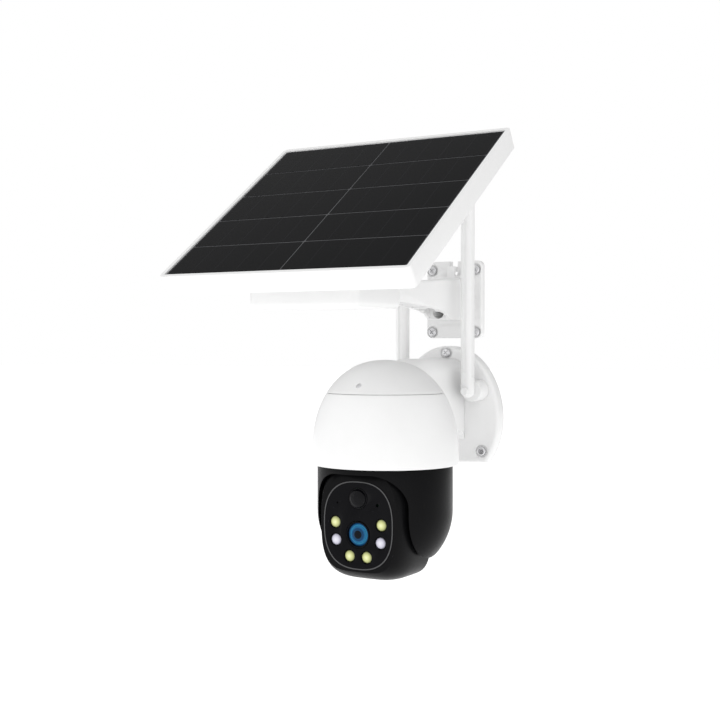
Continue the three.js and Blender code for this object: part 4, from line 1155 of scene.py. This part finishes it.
@dataclass
class Head:
    """The tilting head, shaped about its axis looking along -Y and then put in the fork."""

    y: float = -125.0
    z: float = -79.0
    radius: float = 54.5
    rear_radius: float = 46.0
    hub_radius: float = 34.0
    half_width: float = 39.5
    power: float = 3.8
    chin_power: float = 3.4
    face: float = 43.7
    top: float = 31.0
    wall: float = 2.5
    face_half: tuple[float, float] = (31.0, 34.5)
    face_z: float = -8.5
    face_power: float = 2.55
    lens_z: float = -15.6
    lens_radius: float = 10.5
    pir_z: float = 12.7
    pir_radius: float = 8.0
    lamp_radius: float = 4.7
    foot: float = 39.8
    lamps: tuple[tuple[float, float], ...] = (
        (-20.7, -6.9), (20.7, -6.9), (-20.0, -20.8), (20.0, -20.8), (-7.7, -32.9), (7.7, -32.9),
    )
    ports: tuple[tuple[float, float, float], ...] = ((17.3, 8.3, 1.3), (-18.6, 8.4, 0.8))

    def set_in(self, piece: bpy.types.Object) -> bpy.types.Object:
        """Puts a piece that was shaped about the tilt axis in the fork."""
        return Bench.place(piece, 0.0, (0.0, self.y, self.z))

    def face_point(self, x: float, z: float) -> tuple[float, float, float]:
        """Gives a place on the face in the row frame, in metres, from its place about the axis."""
        return x * MM, (self.y - self.face) * MM, (self.z + z) * MM

    def stations(self, inset: float) -> list[tuple[float, float]]:
        """Gives the rounded shoulders: where across the head its section has which scale."""
        turns = [math.pi * (i / 36 - 0.5) for i in range(1, 36)]
        reach = self.half_width - inset
        return [(reach * bend(math.sin(t), 2 / self.power), bend(math.cos(t), 2 / self.power)) for t in turns]

    def chin(self, inset: float) -> bpy.types.Object:
        """Makes the front solid, round above the axis and squarer below it, drawn in by an inset."""
        section = []
        for i in range(112):
            turn = 2 * math.pi * i / 112
            y, z = math.cos(turn), math.sin(turn)
            power = self.chin_power if z < 0 else 2.0
            reach = (self.radius - inset) * (abs(y) ** power + abs(z) ** power) ** (-1 / power)
            section.append((reach * y, reach * z))
        return Bench.loft(section, self.stations(inset))

    def barrel(self, radius: float, inset: float) -> bpy.types.Object:
        """Makes a barrel about the tilt axis with rounded shoulders, drawn in by an inset."""
        profile = []
        for i in range(37):
            turn = math.pi * (i / 36 - 0.5)
            reach = (radius - inset) * bend(math.cos(turn), 2 / self.power) if 0 < i < 36 else 0.0
            profile.append((reach, (self.half_width - inset) * bend(math.sin(turn), 2 / self.power)))
        return Bench.turned(profile, Axis.ACROSS, (0.0, 0.0, 0.0), 112)

    @staticmethod
    def in_front(lean: float, inset: float) -> bpy.types.Object:
        """Makes the tool for what is in front of a plane by the axis that leans back by some degrees."""
        tool = Bench.block((-60.0, -90.0, -90.0), (60.0, -inset, 90.0))
        return Bench.place(tool, math.radians(lean), (0.0, 0.0, 0.0))

    def body(self, inset: float) -> bpy.types.Object:
        """Makes the head's solid: full in front and below, less behind, and flat on top and in front."""
        front = Bench.common(self.chin(inset), self.in_front(10.0, inset))
        rear = Bench.common(self.barrel(self.rear_radius, inset), self.in_front(45.0, inset))
        Bench.weld(front, rear, self.barrel(self.hub_radius, inset))
        room = Bench.block((-60.0, inset - self.face, -60.0), (60.0, 60.0, self.top - inset))
        return Bench.common(front, room)

    def squircle(self, inset: float, out: float) -> list[tuple[float, float, float]]:
        """Gives the face's outline, drawn in by an inset, at a distance out from the axis."""
        wide, tall = (half - inset for half in self.face_half)
        points = []
        for i in range(72):
            turn = 2 * math.pi * i / 72
            x = wide * bend(math.cos(turn), 2 / self.face_power)
            points.append((x, -out, self.face_z + tall * bend(math.sin(turn), 2 / self.face_power)))
        return points

    def shell(self) -> None:
        """The head's shell with its front opening, side stubs, card seat and button bore."""
        shell = self.body(0.0)
        Bench.round_edges(shell, 1.6, 5, lambda m: m.y < 0.1 - self.face)
        Bench.cut(shell, self.body(self.wall))
        Bench.weld(shell, Bench.rod(7.0, (36.5, 0.0, 0.0), (49.0, 0.0, 0.0)))
        Bench.weld(shell, Bench.rod(7.0, (-49.0, 0.0, 0.0), (-36.5, 0.0, 0.0)))
        Bench.cut(shell, Bench.slab(self.squircle(-GAP, self.face + 1), (0.0, self.wall + 1.5, 0.0)))
        Bench.cut(shell, Bench.rod(3.3, (-60.0, 0.0, 0.0), (60.0, 0.0, 0.0)))
        seat = Bench.block((-12.0, -22.0, -60.0), (12.0, -10.0, -40.0))
        Bench.cut(shell, Bench.cut(seat, self.chin(1.4)))
        Bench.cut(shell, Bench.rod(2.5, (0.0, 2.0, -60.0), (0.0, 2.0, -40.0)))
        Bench.soften(shell, 0.35, 2, 42.0)
        Bench.finish(self.set_in(shell), "head_casing", "head", Slot.BLACK, BLACK, ["head_shell"])

    def faceplate(self) -> None:
        """The glossy faceplate: chamfered rim, openings for lens, sensor and lamps, two small ports."""
        plate = Bench.slab(self.squircle(0.0, self.face + 0.25), (0.0, 2.45, 0.0))
        Bench.round_edges(plate, 0.7, 1, lambda m: m.y < -self.face)
        holes = [(0.0, self.lens_z, self.lens_radius + 0.4), (0.0, self.pir_z, self.pir_radius + 0.4)]
        holes += [(x, z, self.lamp_radius + 0.6) for x, z in self.lamps] + list(self.ports)
        for x, z, radius in holes:
            Bench.cut(plate, Bench.rod(radius, (x, -50.0, z), (x, -30.0, z), 48))
        Bench.soften(plate, 0.25, 2, 60.0)
        Bench.finish(self.set_in(plate), "faceplate_detail", "head", Slot.GLOSS, GLOSS, ["faceplate"])

    def rim(self) -> None:
        """A thin bead round the faceplate, lighter grey than the gloss black: a painted highlight along the
        faceplate's edge.
        """
        bead = Bench.slab(self.squircle(-0.15, self.face + 0.55), (0.0, 0.5, 0.0))
        Bench.cut(bead, Bench.slab(self.squircle(0.75, self.face + 2), (0.0, 4.0, 0.0)))
        Bench.soften(bead, 0.15, 2)
        # The bead's grey paints the highlight along the faceplate's rim.
        highlight_look = Finish("bead_painted_highlight", (0.06, 0.06, 0.062), (0.05, 0.05, 0.052), (0.3, 0.4), bump=0.01)
        Bench.finish(self.set_in(bead), "faceplate_bead", "head", Slot.GLOSS, highlight_look)

    def lamp_painted_look(self, index: int, x: float, z: float) -> "RoundGlass":
        """Gives a lamp's finish: the warm or cool tint is the lamp's own, while the brightness in the middle
        fading darker to the rim is painted highlight and painted shade, with a small painted glow.

        Args:
            index: its number, from 1; 3 and 4 are the cool white ones.
            x: its place across the face.
            z: its height on the face.

        Returns:
            The finish.
        """
        cool = index in (3, 4)
        # Tint is real; bright in the middle and dark at the rim is painted highlight and painted shade.
        rings = (
            (0.0, (0.74, 0.73, 0.80) if cool else (0.80, 0.82, 0.48)),
            (1.9, (0.62, 0.61, 0.70) if cool else (0.62, 0.64, 0.27)),
            (3.5, (0.42, 0.41, 0.50) if cool else (0.38, 0.40, 0.14)),
            (4.6, (0.15, 0.15, 0.19) if cool else (0.12, 0.13, 0.05)),
        )
        # glow adds a little painted light to the lamp's colour.
        return RoundGlass(
            f"lamp_{index}_phosphor_and_painted_glow", rings[0][1], rings[1][1], (0.12, 0.2), coat=0.6, bump=0.01,
            centre=self.face_point(x, z), rings=rings, glow=0.06,
        )

    def light_ring(self) -> None:
        """Models one lamp and its narrow dark ring, and sets six of them round the lens."""
        foot, rim, radius = self.foot, self.face - 0.9, self.lamp_radius - 0.1
        profile = [(0.0, foot), (radius, foot), (radius, rim)]
        for i in range(1, 9):
            turn = math.pi / 2 * i / 8
            profile.append((radius * math.cos(turn), rim + 1.5 * math.sin(turn)))
        dome = Bench.turned(profile, Axis.OUT, steps=40)
        inner, outer = radius + 0.12, radius + 0.55
        ring = Bench.turned(
            [
                (inner, rim - 1), (outer, rim - 1), (outer, self.face + 0.1),
                ((inner + outer) / 2, self.face + 0.35), (inner, self.face + 0.1), (inner, rim - 1),
            ],
            Axis.OUT, steps=40,
        )
        for index, (x, z) in enumerate(self.lamps, start=1):
            slot = Slot.LAMP_WHITE if index in (3, 4) else Slot.LAMP_YELLOW
            glass = self.set_in(Bench.copy(dome, (x, 0.0, z)))
            name = f"lamp_{index}"
            Bench.finish(glass, f"{name}_dome", "head", slot, self.lamp_painted_look(index, x, z), [name])
            bezel = self.set_in(Bench.copy(ring, (x, 0.0, z)))
            Bench.finish(bezel, f"lamp_{index}_ring", "head", Slot.GLOSS, GLOSS)
        for master in (dome, ring):
            bpy.data.objects.remove(master)

    def lens(self) -> None:
        """The lens: stepped black barrel and a coated front element, whose coloured rings are painted
        reflections in the coated glass and whose glow is painted light.
        """
        rear, front, reach = 22.0, self.face + 1.0, self.lens_radius
        steps = [(0.0, rear), (reach, rear), (reach, front - 0.4), (reach - 0.4, front), (reach - 1.0, front)]
        steps += [(reach - 1.2, front - 0.8), (reach - 1.2, front - 4.0), (0.0, front - 4.0)]
        barrel = Bench.turned(steps, Axis.OUT, (0.0, 0.0, self.lens_z), 64)
        Bench.finish(self.set_in(barrel), "lens_barrel_detail", "head", Slot.BLACK, GLOSS, ["lens_barrel"])
        # Dark and coloured rings are painted reflections inside the coated lens; glow=0.08 is painted light.
        coating_look = RoundGlass(
            "lens_painted_reflections", (0.05, 0.25, 0.5), (0.04, 0.2, 0.4), (0.1, 0.18), bump=0.004, specular=0.12,
            centre=self.face_point(0.0, self.lens_z),
            rings=(
                (0.0, (0.0, 0.001, 0.003)), (3.0, (0.0, 0.002, 0.006)), (3.8, (0.008, 0.06, 0.14)),
                (4.6, (0.003, 0.03, 0.09)), (5.8, (0.015, 0.12, 0.28)), (7.0, (0.03, 0.24, 0.42)),
                (8.0, (0.012, 0.09, 0.22)), (9.2, (0.006, 0.03, 0.08)),
            ),
            glow=0.08,
        )
        base = front - 4.0 + 0.1
        glass = [(0.0, base), (9.0, base), (9.0, base + 1.7), (8.2, base + 2.0), (7.6, base + 1.5)]
        for i in range(9):
            turn = math.pi / 2 * i / 8
            glass.append((6.9 * math.cos(turn), base + 1.5 + 2.0 * math.sin(turn)))
        element = Bench.turned(glass, Axis.OUT, (0.0, 0.0, self.lens_z), 64)
        Bench.finish(self.set_in(element), "lens_front_element", "head", Slot.LENS, coating_look, ["lens_glass"])

    def motion_sensor(self) -> None:
        """The dark sensor dome, with its faint lens segments."""
        profile = [(0.0, self.foot), (self.pir_radius, self.foot), (self.pir_radius, self.face + 0.3)]
        profile += [(self.pir_radius - 0.5, self.face + 0.5)]
        for i in range(13):
            turn = math.pi / 2 * i / 12
            reach = (self.pir_radius - 0.7) * math.cos(turn)
            profile.append((reach, self.face + 0.4 + 3.5 * math.sin(turn) - (0.16 if i % 3 == 2 else 0.0)))
        dome = Bench.turned(profile, Axis.OUT, (0.0, 0.0, self.pir_z), 60)
        Bench.finish(self.set_in(dome), "sensor_window_dome", "head", Slot.PIR, PIR, ["pir_dome"])

    def build(self) -> None:
        """Builds the head and all that its face carries."""
        self.shell()
        self.faceplate()
        self.rim()
        self.light_ring()
        self.lens()
        self.motion_sensor()


# ---------------------------------------------------------------------------------------------
# Solar unit
# ---------------------------------------------------------------------------------------------


@dataclass
class SolarMount:
    """The solar unit's wall plate and its ribbed arm."""

    x: float = 5.0
    half_width: float = 27.0
    bottom: float = 60.0
    top: float = 129.0
    thickness: float = 7.0
    screw_x: float = 21.25
    screw_z: tuple[float, float] = (65.5, 121.0)
    arm_half: float = 11.0
    arm_top: float = 113.0
    arm_bottom: float = 76.0
    tip_y: float = -148.7
    tip_top: float = 103.4
    tip_bottom: float = 89.0
    pitch: float = 16.0

    def rect(
        self, half_x: float, low: float, high: float, corner: float, y: float
    ) -> list[tuple[float, float, float]]:
        """Gives a rounded rectangle in the wall's plane, centred on the unit, at a depth y."""
        middle = (low + high) / 2
        return [(self.x + a, y, middle + b) for a, b in rounded_rect(half_x, (high - low) / 2, corner)]

    def plate(self) -> None:
        """The wall plate: raised pad, U-shaped notch, sunk screw seats, lock screw's hole."""
        outline = self.rect(self.half_width, self.bottom, self.top, 5.0, 0.0)
        plate = Bench.slab(outline, (0.0, -self.thickness, 0.0))
        Bench.round_edges(plate, 1.2, 3, lambda m: m.y < 0.1 - self.thickness)
        front = -self.thickness - 3.0
        pad = Bench.slab(self.rect(15.0, 72.0, 116.0, 3.0, 0.5 - self.thickness), (0.0, -3.5, 0.0))
        Bench.weld(plate, pad)
        notch = self.rect(4.0, self.top - 14, self.top + 8, 3.9, 1.0)
        lock = Bench.rod(2.1, (self.x, 1, 82), (self.x, front - 1, 82))
        Bench.cut(plate, Bench.slab(notch, (0.0, -20.0, 0.0)), lock)
        for z in self.screw_z:
            for side in (-1, 1):
                seat = [(0.0, -1.0), (2.6, -1.0), (2.6, 5.5), (5.2, 5.5), (5.2, 6.5), (5.9, 7.3), (0.0, 7.3)]
                Bench.cut(plate, Bench.turned(seat, Axis.OUT, (self.x + side * self.screw_x, 0.0, z), 40))
        Bench.soften(plate, 0.35)
        Bench.finish(plate, "solar_plate", "root", Slot.WHITE, WHITE, ["solar_wall_plate"])
        WallScrew().build(*(f"plate_screw_{index}" for index in range(1, 5)))
        WallScrew(radius=3.6, shank=1.8).build("arm_lock_screw")

    def underside(self, low: float, steps: int = 16) -> list[tuple[float, float]]:
        """Gives the arm's lower edge from its tip to its foot, moved up by a little, as (y, z)."""
        start, knee, end = Vector((self.tip_y, self.tip_bottom)), Vector((-80.0, 88.5)), Vector((-45.0, 81.0))
        points = []
        for i in range(steps + 1):
            t = i / steps
            spot = start * (1 - t) ** 2 + knee * 2 * t * (1 - t) + end * t**2
            points.append((spot.x, spot.y + low))
        return points

    def arm(self) -> None:
        """The arm: a channel open below, crossed by ribs, solid at its foot, with a hook in the notch."""
        wall = -self.thickness - 3.0 - GAP
        half = self.arm_half
        side = [(wall, self.arm_bottom), (wall, self.arm_top), (self.tip_y, self.tip_top)]
        side += [*self.underside(0.0), (-36.0, self.arm_bottom)]
        body = Bench.slab([(self.x - half, y, z) for y, z in side], (2 * half, 0.0, 0.0))
        Bench.round_edges(
            body, 2.0, 4, lambda m: m.y < wall - 1 and m.z > 100 and abs(m.x - self.x) > half - 0.1
        )
        inner = half - 2.5
        hollow = [(-38.0, 60.0), (-38.0, 106.0), (self.tip_y + 5, 99.5), (self.tip_y + 5, 60.0)]
        pocket = Bench.slab([(self.x - inner, y, z) for y, z in hollow], (2 * inner, 0.0, 0.0))
        y = -54.0
        while y > self.tip_y + 10:
            rib = Bench.block((self.x - half, y - 1.0, 50.0), (self.x + half, y + 1.0, 120.0))
            Bench.cut(pocket, rib)
            y -= self.pitch
        Bench.cut(body, pocket)
        foot = [(self.x + a, wall, 94.0 + b) for a, b in rounded_rect(14.0, 21.0, 3.0)]
        Bench.weld(body, Bench.slab(foot, (0.0, -3.5, 0.0)))
        Bench.weld(body, Bench.block((self.x - 3.4, wall - 3.5, 112.0), (self.x + 3.4, wall, 124.0)))
        hook = Bench.block((self.x - 3.4, wall - 1.0, 119.4), (self.x + 3.4, 1.0 - self.thickness, 124.0))
        Bench.weld(body, hook)
        Bench.cut(body, Bench.rod(2.1, (self.x, 0.0, 82.0), (self.x, -30.0, 82.0)))
        Bench.cut(body, Bench.rod(5.2, (self.x, wall - 3.5, 82.0), (self.x, -60.0, 82.0)))
        Bench.soften(body, 0.3, 2, 40.0)
        Bench.finish(body, "solar_arm_shell", "root", Slot.WHITE, WHITE, ["solar_arm"])

    def build(self) -> None:
        """Builds the plate and the arm."""
        self.plate()
        self.arm()


@dataclass
class BatteryBox:
    """The flat battery box: tray with drawn-in ends, and a lid that carries the hinge's lugs."""

    x: float = -20.0
    half_x: float = 49.0
    hinge_x: float = 5.0
    half_y: float = 36.0
    y: float = -185.0
    bottom: float = 82.0
    split: float = 100.4
    top: float = 104.4
    wall: float = 1.6
    corner: float = 7.0
    hinge: tuple[float, float] = (-190.0, 120.0)
    knuckle: float = 8.0

    def outline(self, inset: float, z: float) -> list[tuple[float, float, float]]:
        """Gives the box's outline, drawn in by an inset, at a height z."""
        points = rounded_rect(self.half_x - inset, self.half_y - inset, self.corner - inset, 10)
        return [(self.x + a, self.y + b, z) for a, b in points]

    def tray(self) -> None:
        """The tray: round bottom edges, thin wall, gland's hole at the back."""
        tray = Bench.slab(self.outline(0.0, self.bottom), (0.0, 0.0, self.split - self.bottom))
        Bench.round_edges(tray, 4.0, 6, lambda m: m.z < self.bottom + 0.1)
        Bench.cut(tray, Bench.slab(self.outline(self.wall, self.bottom + self.wall), (0.0, 0.0, 30.0)))
        low, high = node_box("power_gland")
        middle = (low + high) / 2
        rear = self.y + self.half_y
        Bench.cut(tray, Bench.rod(5.3, (middle.x, rear - 5, middle.z), (middle.x, rear + 5, middle.z)))
        Bench.soften(tray, 0.3)
        Bench.finish(tray, "battery_tray_shell", "root", Slot.WHITE, WHITE, ["battery_tray"])

    def lid(self) -> None:
        """The lid: round top edge, recess below, two lugs bored for the hinge bolt."""
        low = self.split + GAP
        lid = Bench.slab(self.outline(0.0, low), (0.0, 0.0, self.top - low))
        Bench.round_edges(lid, 1.6, 4, lambda m: m.z > self.top - 0.1)
        Bench.cut(lid, Bench.slab(self.outline(4.0, low - 1), (0.0, 0.0, self.top - self.wall - low + 1)))
        y, z = self.hinge
        x0, x1 = self.hinge_x - 16.5, self.hinge_x - 11.5
        lug = Bench.rod(self.knuckle, (x0, y, z), (x1, y, z))
        Bench.weld(lug, Bench.block((x0, y - self.knuckle, self.top - 0.5), (x1, y + self.knuckle, z)))
        Bench.weld(lid, Bench.copy(lug, (28.0, 0.0, 0.0)), lug)
        Bench.cut(lid, Bench.rod(2.8, (self.hinge_x - 20, y, z), (self.hinge_x + 20, y, z)))
        Bench.soften(lid, 0.3)
        Bench.finish(lid, "battery_lid_shell", "root", Slot.WHITE, WHITE, ["battery_lid"])

    def build(self) -> None:
        """Builds the tray and the lid."""
        self.tray()
        self.lid()


@dataclass
class Panel:
    """The tilting panel, shaped flat about the middle of its glass and then leaned back."""

    centre: tuple[float, float, float] = (5.0, -206.0, 161.5)
    lean: float = math.radians(35)
    half_x: float = 100.5
    half_y: float = 98.5
    border: float = 3.5
    rim: float = 0.8
    depth: float = 16.0
    laminate: float = 3.2
    columns: int = 2
    rows: int = 5
    gap: float = 1.3
    margin: float = 1.6
    hinge: tuple[float, float] = (-190.0, 120.0)

    def set_in(self, piece: bpy.types.Object) -> bpy.types.Object:
        """Leans a piece that was shaped flat and puts it over the battery box."""
        return Bench.place(piece, self.lean, self.centre)

    def outline(self, outset: float, corner: float, z: float) -> list[tuple[float, float, float]]:
        """Gives the panel's outline, widened by an outset, at a height over the glass."""
        return [(a, b, z) for a, b in rounded_rect(self.half_x + outset, self.half_y + outset, corner)]

    def frame(self) -> None:
        """The white frame: round rim, rebate for the glass, open channel behind."""
        frame = Bench.slab(self.outline(self.border, 4.0, self.rim - self.depth), (0.0, 0.0, self.depth))
        Bench.cut(frame, Bench.slab(self.outline(GAP, 1.0, -self.laminate - GAP), (0.0, 0.0, 10.0)))
        Bench.cut(frame, Bench.slab(self.outline(-4.0, 1.0, -30.0), (0.0, 0.0, 40.0)))
        Bench.cut(frame, Bench.slab(self.outline(0.5, 2.0, -30.0), (0.0, 0.0, 30.0 - self.laminate - 3.5)))
        Bench.soften(frame, 0.8, 3, 40.0)
        Bench.finish(self.set_in(frame), "panel_frame_shell", "panel", Slot.WHITE, WHITE, ["panel_frame"])

    def glass(self) -> None:
        """The laminate: a slab whose top shows the grey gaps, with the dark cells on it."""
        slab = Bench.slab(self.outline(0.0, 1.0, -self.laminate), (0.0, 0.0, self.laminate - 0.25))
        Bench.soften(slab, 0.2)
        Bench.finish(self.set_in(slab), "panel_slab", "panel", Slot.SOLAR, BACKING, ["panel_laminate"])
        wide = (2 * (self.half_x - self.margin) - self.gap * (self.columns - 1)) / self.columns
        tall = (2 * (self.half_y - self.margin) - self.gap * (self.rows - 1)) / self.rows
        edge = [(a, b, -0.22) for a, b in rounded_rect(wide / 2, tall / 2, 1.2, 3)]
        first = Bench.slab(edge, (0.0, 0.0, 0.2))
        cells = []
        for column in range(self.columns):
            for row in range(self.rows):
                x = (column - (self.columns - 1) / 2) * (wide + self.gap)
                y = (row - (self.rows - 1) / 2) * (tall + self.gap)
                cells.append(Bench.copy(first, (x, y, 0.0)))
        bpy.data.objects.remove(first)
        for index, cell in enumerate(cells, start=1):
            self.flat_map(cell)
            Bench.finish(self.set_in(cell), f"solar_cell_{index:02d}", "panel", Slot.SOLAR, SILICON)

    @staticmethod
    def flat_map(cell: bpy.types.Object) -> None:
        """Gives a flat cell a UV map in metres, before it is leaned."""
        layer = cell.data.uv_layers.new(name="flat")
        for loop in cell.data.loops:
            spot = cell.data.vertices[loop.vertex_index].co
            layer.data[loop.index].uv = (spot.x, spot.y)

    def back(self) -> None:
        """The back sheet with its stiffening ribs, and the junction box with its lid line."""
        front = -self.laminate - 3.5 - GAP
        sheet = Bench.slab(self.outline(0.2, 1.7, front - 1.8), (0.0, 0.0, 1.8))
        for offset in (-70.0, 70.0):
            Bench.weld(sheet, Bench.block((offset - 2, -88.0, front - 4.2), (offset + 2, 88.0, front - 1.0)))
        Bench.soften(sheet, 0.4)
        Bench.finish(self.set_in(sheet), "back_sheet_shell", "panel", Slot.WHITE, WHITE, ["panel_back_sheet"])
        top = front - 1.8 - GAP
        base = [(a, 66.0 + b, top - 3.4) for a, b in rounded_rect(22.0, 14.0, 3.0)]
        box = Bench.slab(base, (0.0, 0.0, 3.4))
        cover = [(a, 66.0 + b, top - 5.0) for a, b in rounded_rect(21.2, 13.2, 2.6)]
        Bench.weld(box, Bench.slab(cover, (0.0, 0.0, 2.0)))
        Bench.soften(box, 0.4, 3)
        Bench.finish(self.set_in(box), "junction_box_shell", "panel", Slot.BLACK, BLACK, ["junction_box"])

    def bracket(self) -> None:
        """The bracket: a pad on the back sheet and two ears that reach down to the hinge bolt."""
        away = Vector((self.hinge[0] - self.centre[1], self.hinge[1] - self.centre[2]))
        y = away.x * math.cos(self.lean) + away.y * math.sin(self.lean)
        z = away.y * math.cos(self.lean) - away.x * math.sin(self.lean)
        top, reach = -self.laminate - 3.5 - 1.8 - 2 * GAP, 8.0
        pad = Bench.slab([(a, y + b, top - 3.0) for a, b in rounded_rect(30.0, 26.0, 5.0)], (0.0, 0.0, 3.0))
        x = -8.75 - 2.5
        outline = [(x, y + 20, top - 2.0), (x, y - 20, top - 2.0)]
        for i in range(13):
            turn = math.pi + math.pi * i / 12
            outline.append((x, y + reach * math.cos(turn), z + reach * math.sin(turn)))
        ear = Bench.slab(outline, (5.0, 0.0, 0.0))
        Bench.weld(pad, Bench.copy(ear, (17.5, 0.0, 0.0)), ear)
        Bench.weld(pad, Bench.block((-8.0, y - 2, z + reach + 4), (8.0, y + 2, top - 1.0)))
        Bench.cut(pad, Bench.rod(2.8, (-20.0, y, z), (20.0, y, z)))
        Bench.soften(pad, 0.5, 3)
        Bench.finish(self.set_in(pad), "tilt_bracket", "panel", Slot.WHITE, WHITE, ["panel_bracket"])

    def build(self) -> None:
        """Builds the panel."""
        self.frame()
        self.glass()
        self.back()
        self.bracket()


# ---------------------------------------------------------------------------------------------
# Dressing and stage
# ---------------------------------------------------------------------------------------------


def dress_frame() -> None:
    """Gives every CAD node that still shows the finish of its slot."""
    slots = {entry["node"]: entry["material_slot"] for entry in frame["record"]["subparts"]}
    for name, node in frame["nodes"].items():
        look = FINISH_OF[Slot(slots[name])]
        node.data.materials.clear()
        node.data.materials.append(look.material())
        LOG.info("%s keeps its CAD mesh in %s", name, look.name)


@dataclass
class Studio:
    """A pale lit floor, a soft white surround, two strip lights and the camera."""

    eye: tuple[float, float, float] = (0.4645, -0.9654, 0.053)
    aim: tuple[float, float, float] = (89.32, 0.0, 30.15)
    lens: float = 59.05
    floor_z: float = -0.62
    sky: float = 0.76
    slope: tuple[float, float, float] = (-0.04, -0.36, 0.08)

    def light(self, name: str, place: Point, size: tuple[float, float], power: float) -> None:
        """Adds a soft light that faces the dome.

        Args:
            name: its name.
            place: where it is, in metres.
            size: its width and height, in metres.
            power: its power, in watts.
        """
        target = Vector((0.0, -0.125, 0.0))
        Bench.clear()
        bpy.ops.object.light_add(type="AREA", location=place)
        lamp = bpy.context.active_object
        lamp.name = name
        lamp.data.shape = "RECTANGLE"
        lamp.data.size, lamp.data.size_y = size
        lamp.data.energy = power
        lamp.rotation_euler = (target - Vector(place)).to_track_quat("-Z", "Y").to_euler()

    def surround(self) -> None:
        """Gives the world a soft light that is strongest from the front."""
        world = bpy.data.worlds.new("studio")
        world.use_nodes = True
        world.node_tree.nodes.clear()
        nodes = Nodes(world.node_tree)
        way = nodes.add("ShaderNodeTexCoord").outputs["Generated"]
        lean = nodes.add("ShaderNodeVectorMath", {0: way}, operation="DOT_PRODUCT")
        lean.inputs[1].default_value = self.slope
        level = nodes.math("ADD", lean.outputs["Value"], self.sky)
        soft = nodes.add("ShaderNodeBackground", {"Strength": level}, Color=(1.0, 1.0, 1.0, 1.0))
        seen = nodes.add("ShaderNodeBackground", Color=(1.0, 1.0, 1.0, 1.0), Strength=1.0)
        ray = nodes.add("ShaderNodeLightPath").outputs["Is Camera Ray"]
        mixed = nodes.add("ShaderNodeMixShader", {0: ray, 1: soft.outputs[0], 2: seen.outputs[0]})
        nodes.add("ShaderNodeOutputWorld", {"Surface": mixed.outputs[0]})
        bpy.context.scene.world = world

    def build(self) -> None:
        """Builds the floor, the surround, the lights and the camera."""
        Bench.clear()
        bpy.ops.mesh.primitive_plane_add(size=60.0, location=(0.0, 0.0, self.floor_z))
        floor = bpy.context.active_object
        floor.name = "pale_floor"
        floor.data.materials.append(FLOOR.material())
        self.surround()
        bpy.context.scene.view_settings.view_transform = "Standard"
        self.light("left_strip", (-0.95, -0.95, 0.1), (0.16, 1.2), 0.4)
        self.light("right_strip", (1.15, -0.55, 0.1), (0.12, 1.2), 0.4)
        bpy.ops.object.camera_add(location=self.eye, rotation=tuple(math.radians(angle) for angle in self.aim))
        camera = bpy.context.active_object
        camera.data.lens = self.lens
        bpy.context.scene.camera = camera


def main() -> None:
    """Builds the camera, the solar unit and the stage."""
    logging.basicConfig(level=logging.INFO, format="%(name)s: %(message)s")
    Studio().build()
    dress_frame()
    dome = Dome()
    CameraBracket().build(dome)
    dome.build()
    Fork().build()
    Head().build()
    SolarMount().build()
    BatteryBox().build()
    Panel().build()


if __name__ == "__main__":
    main()
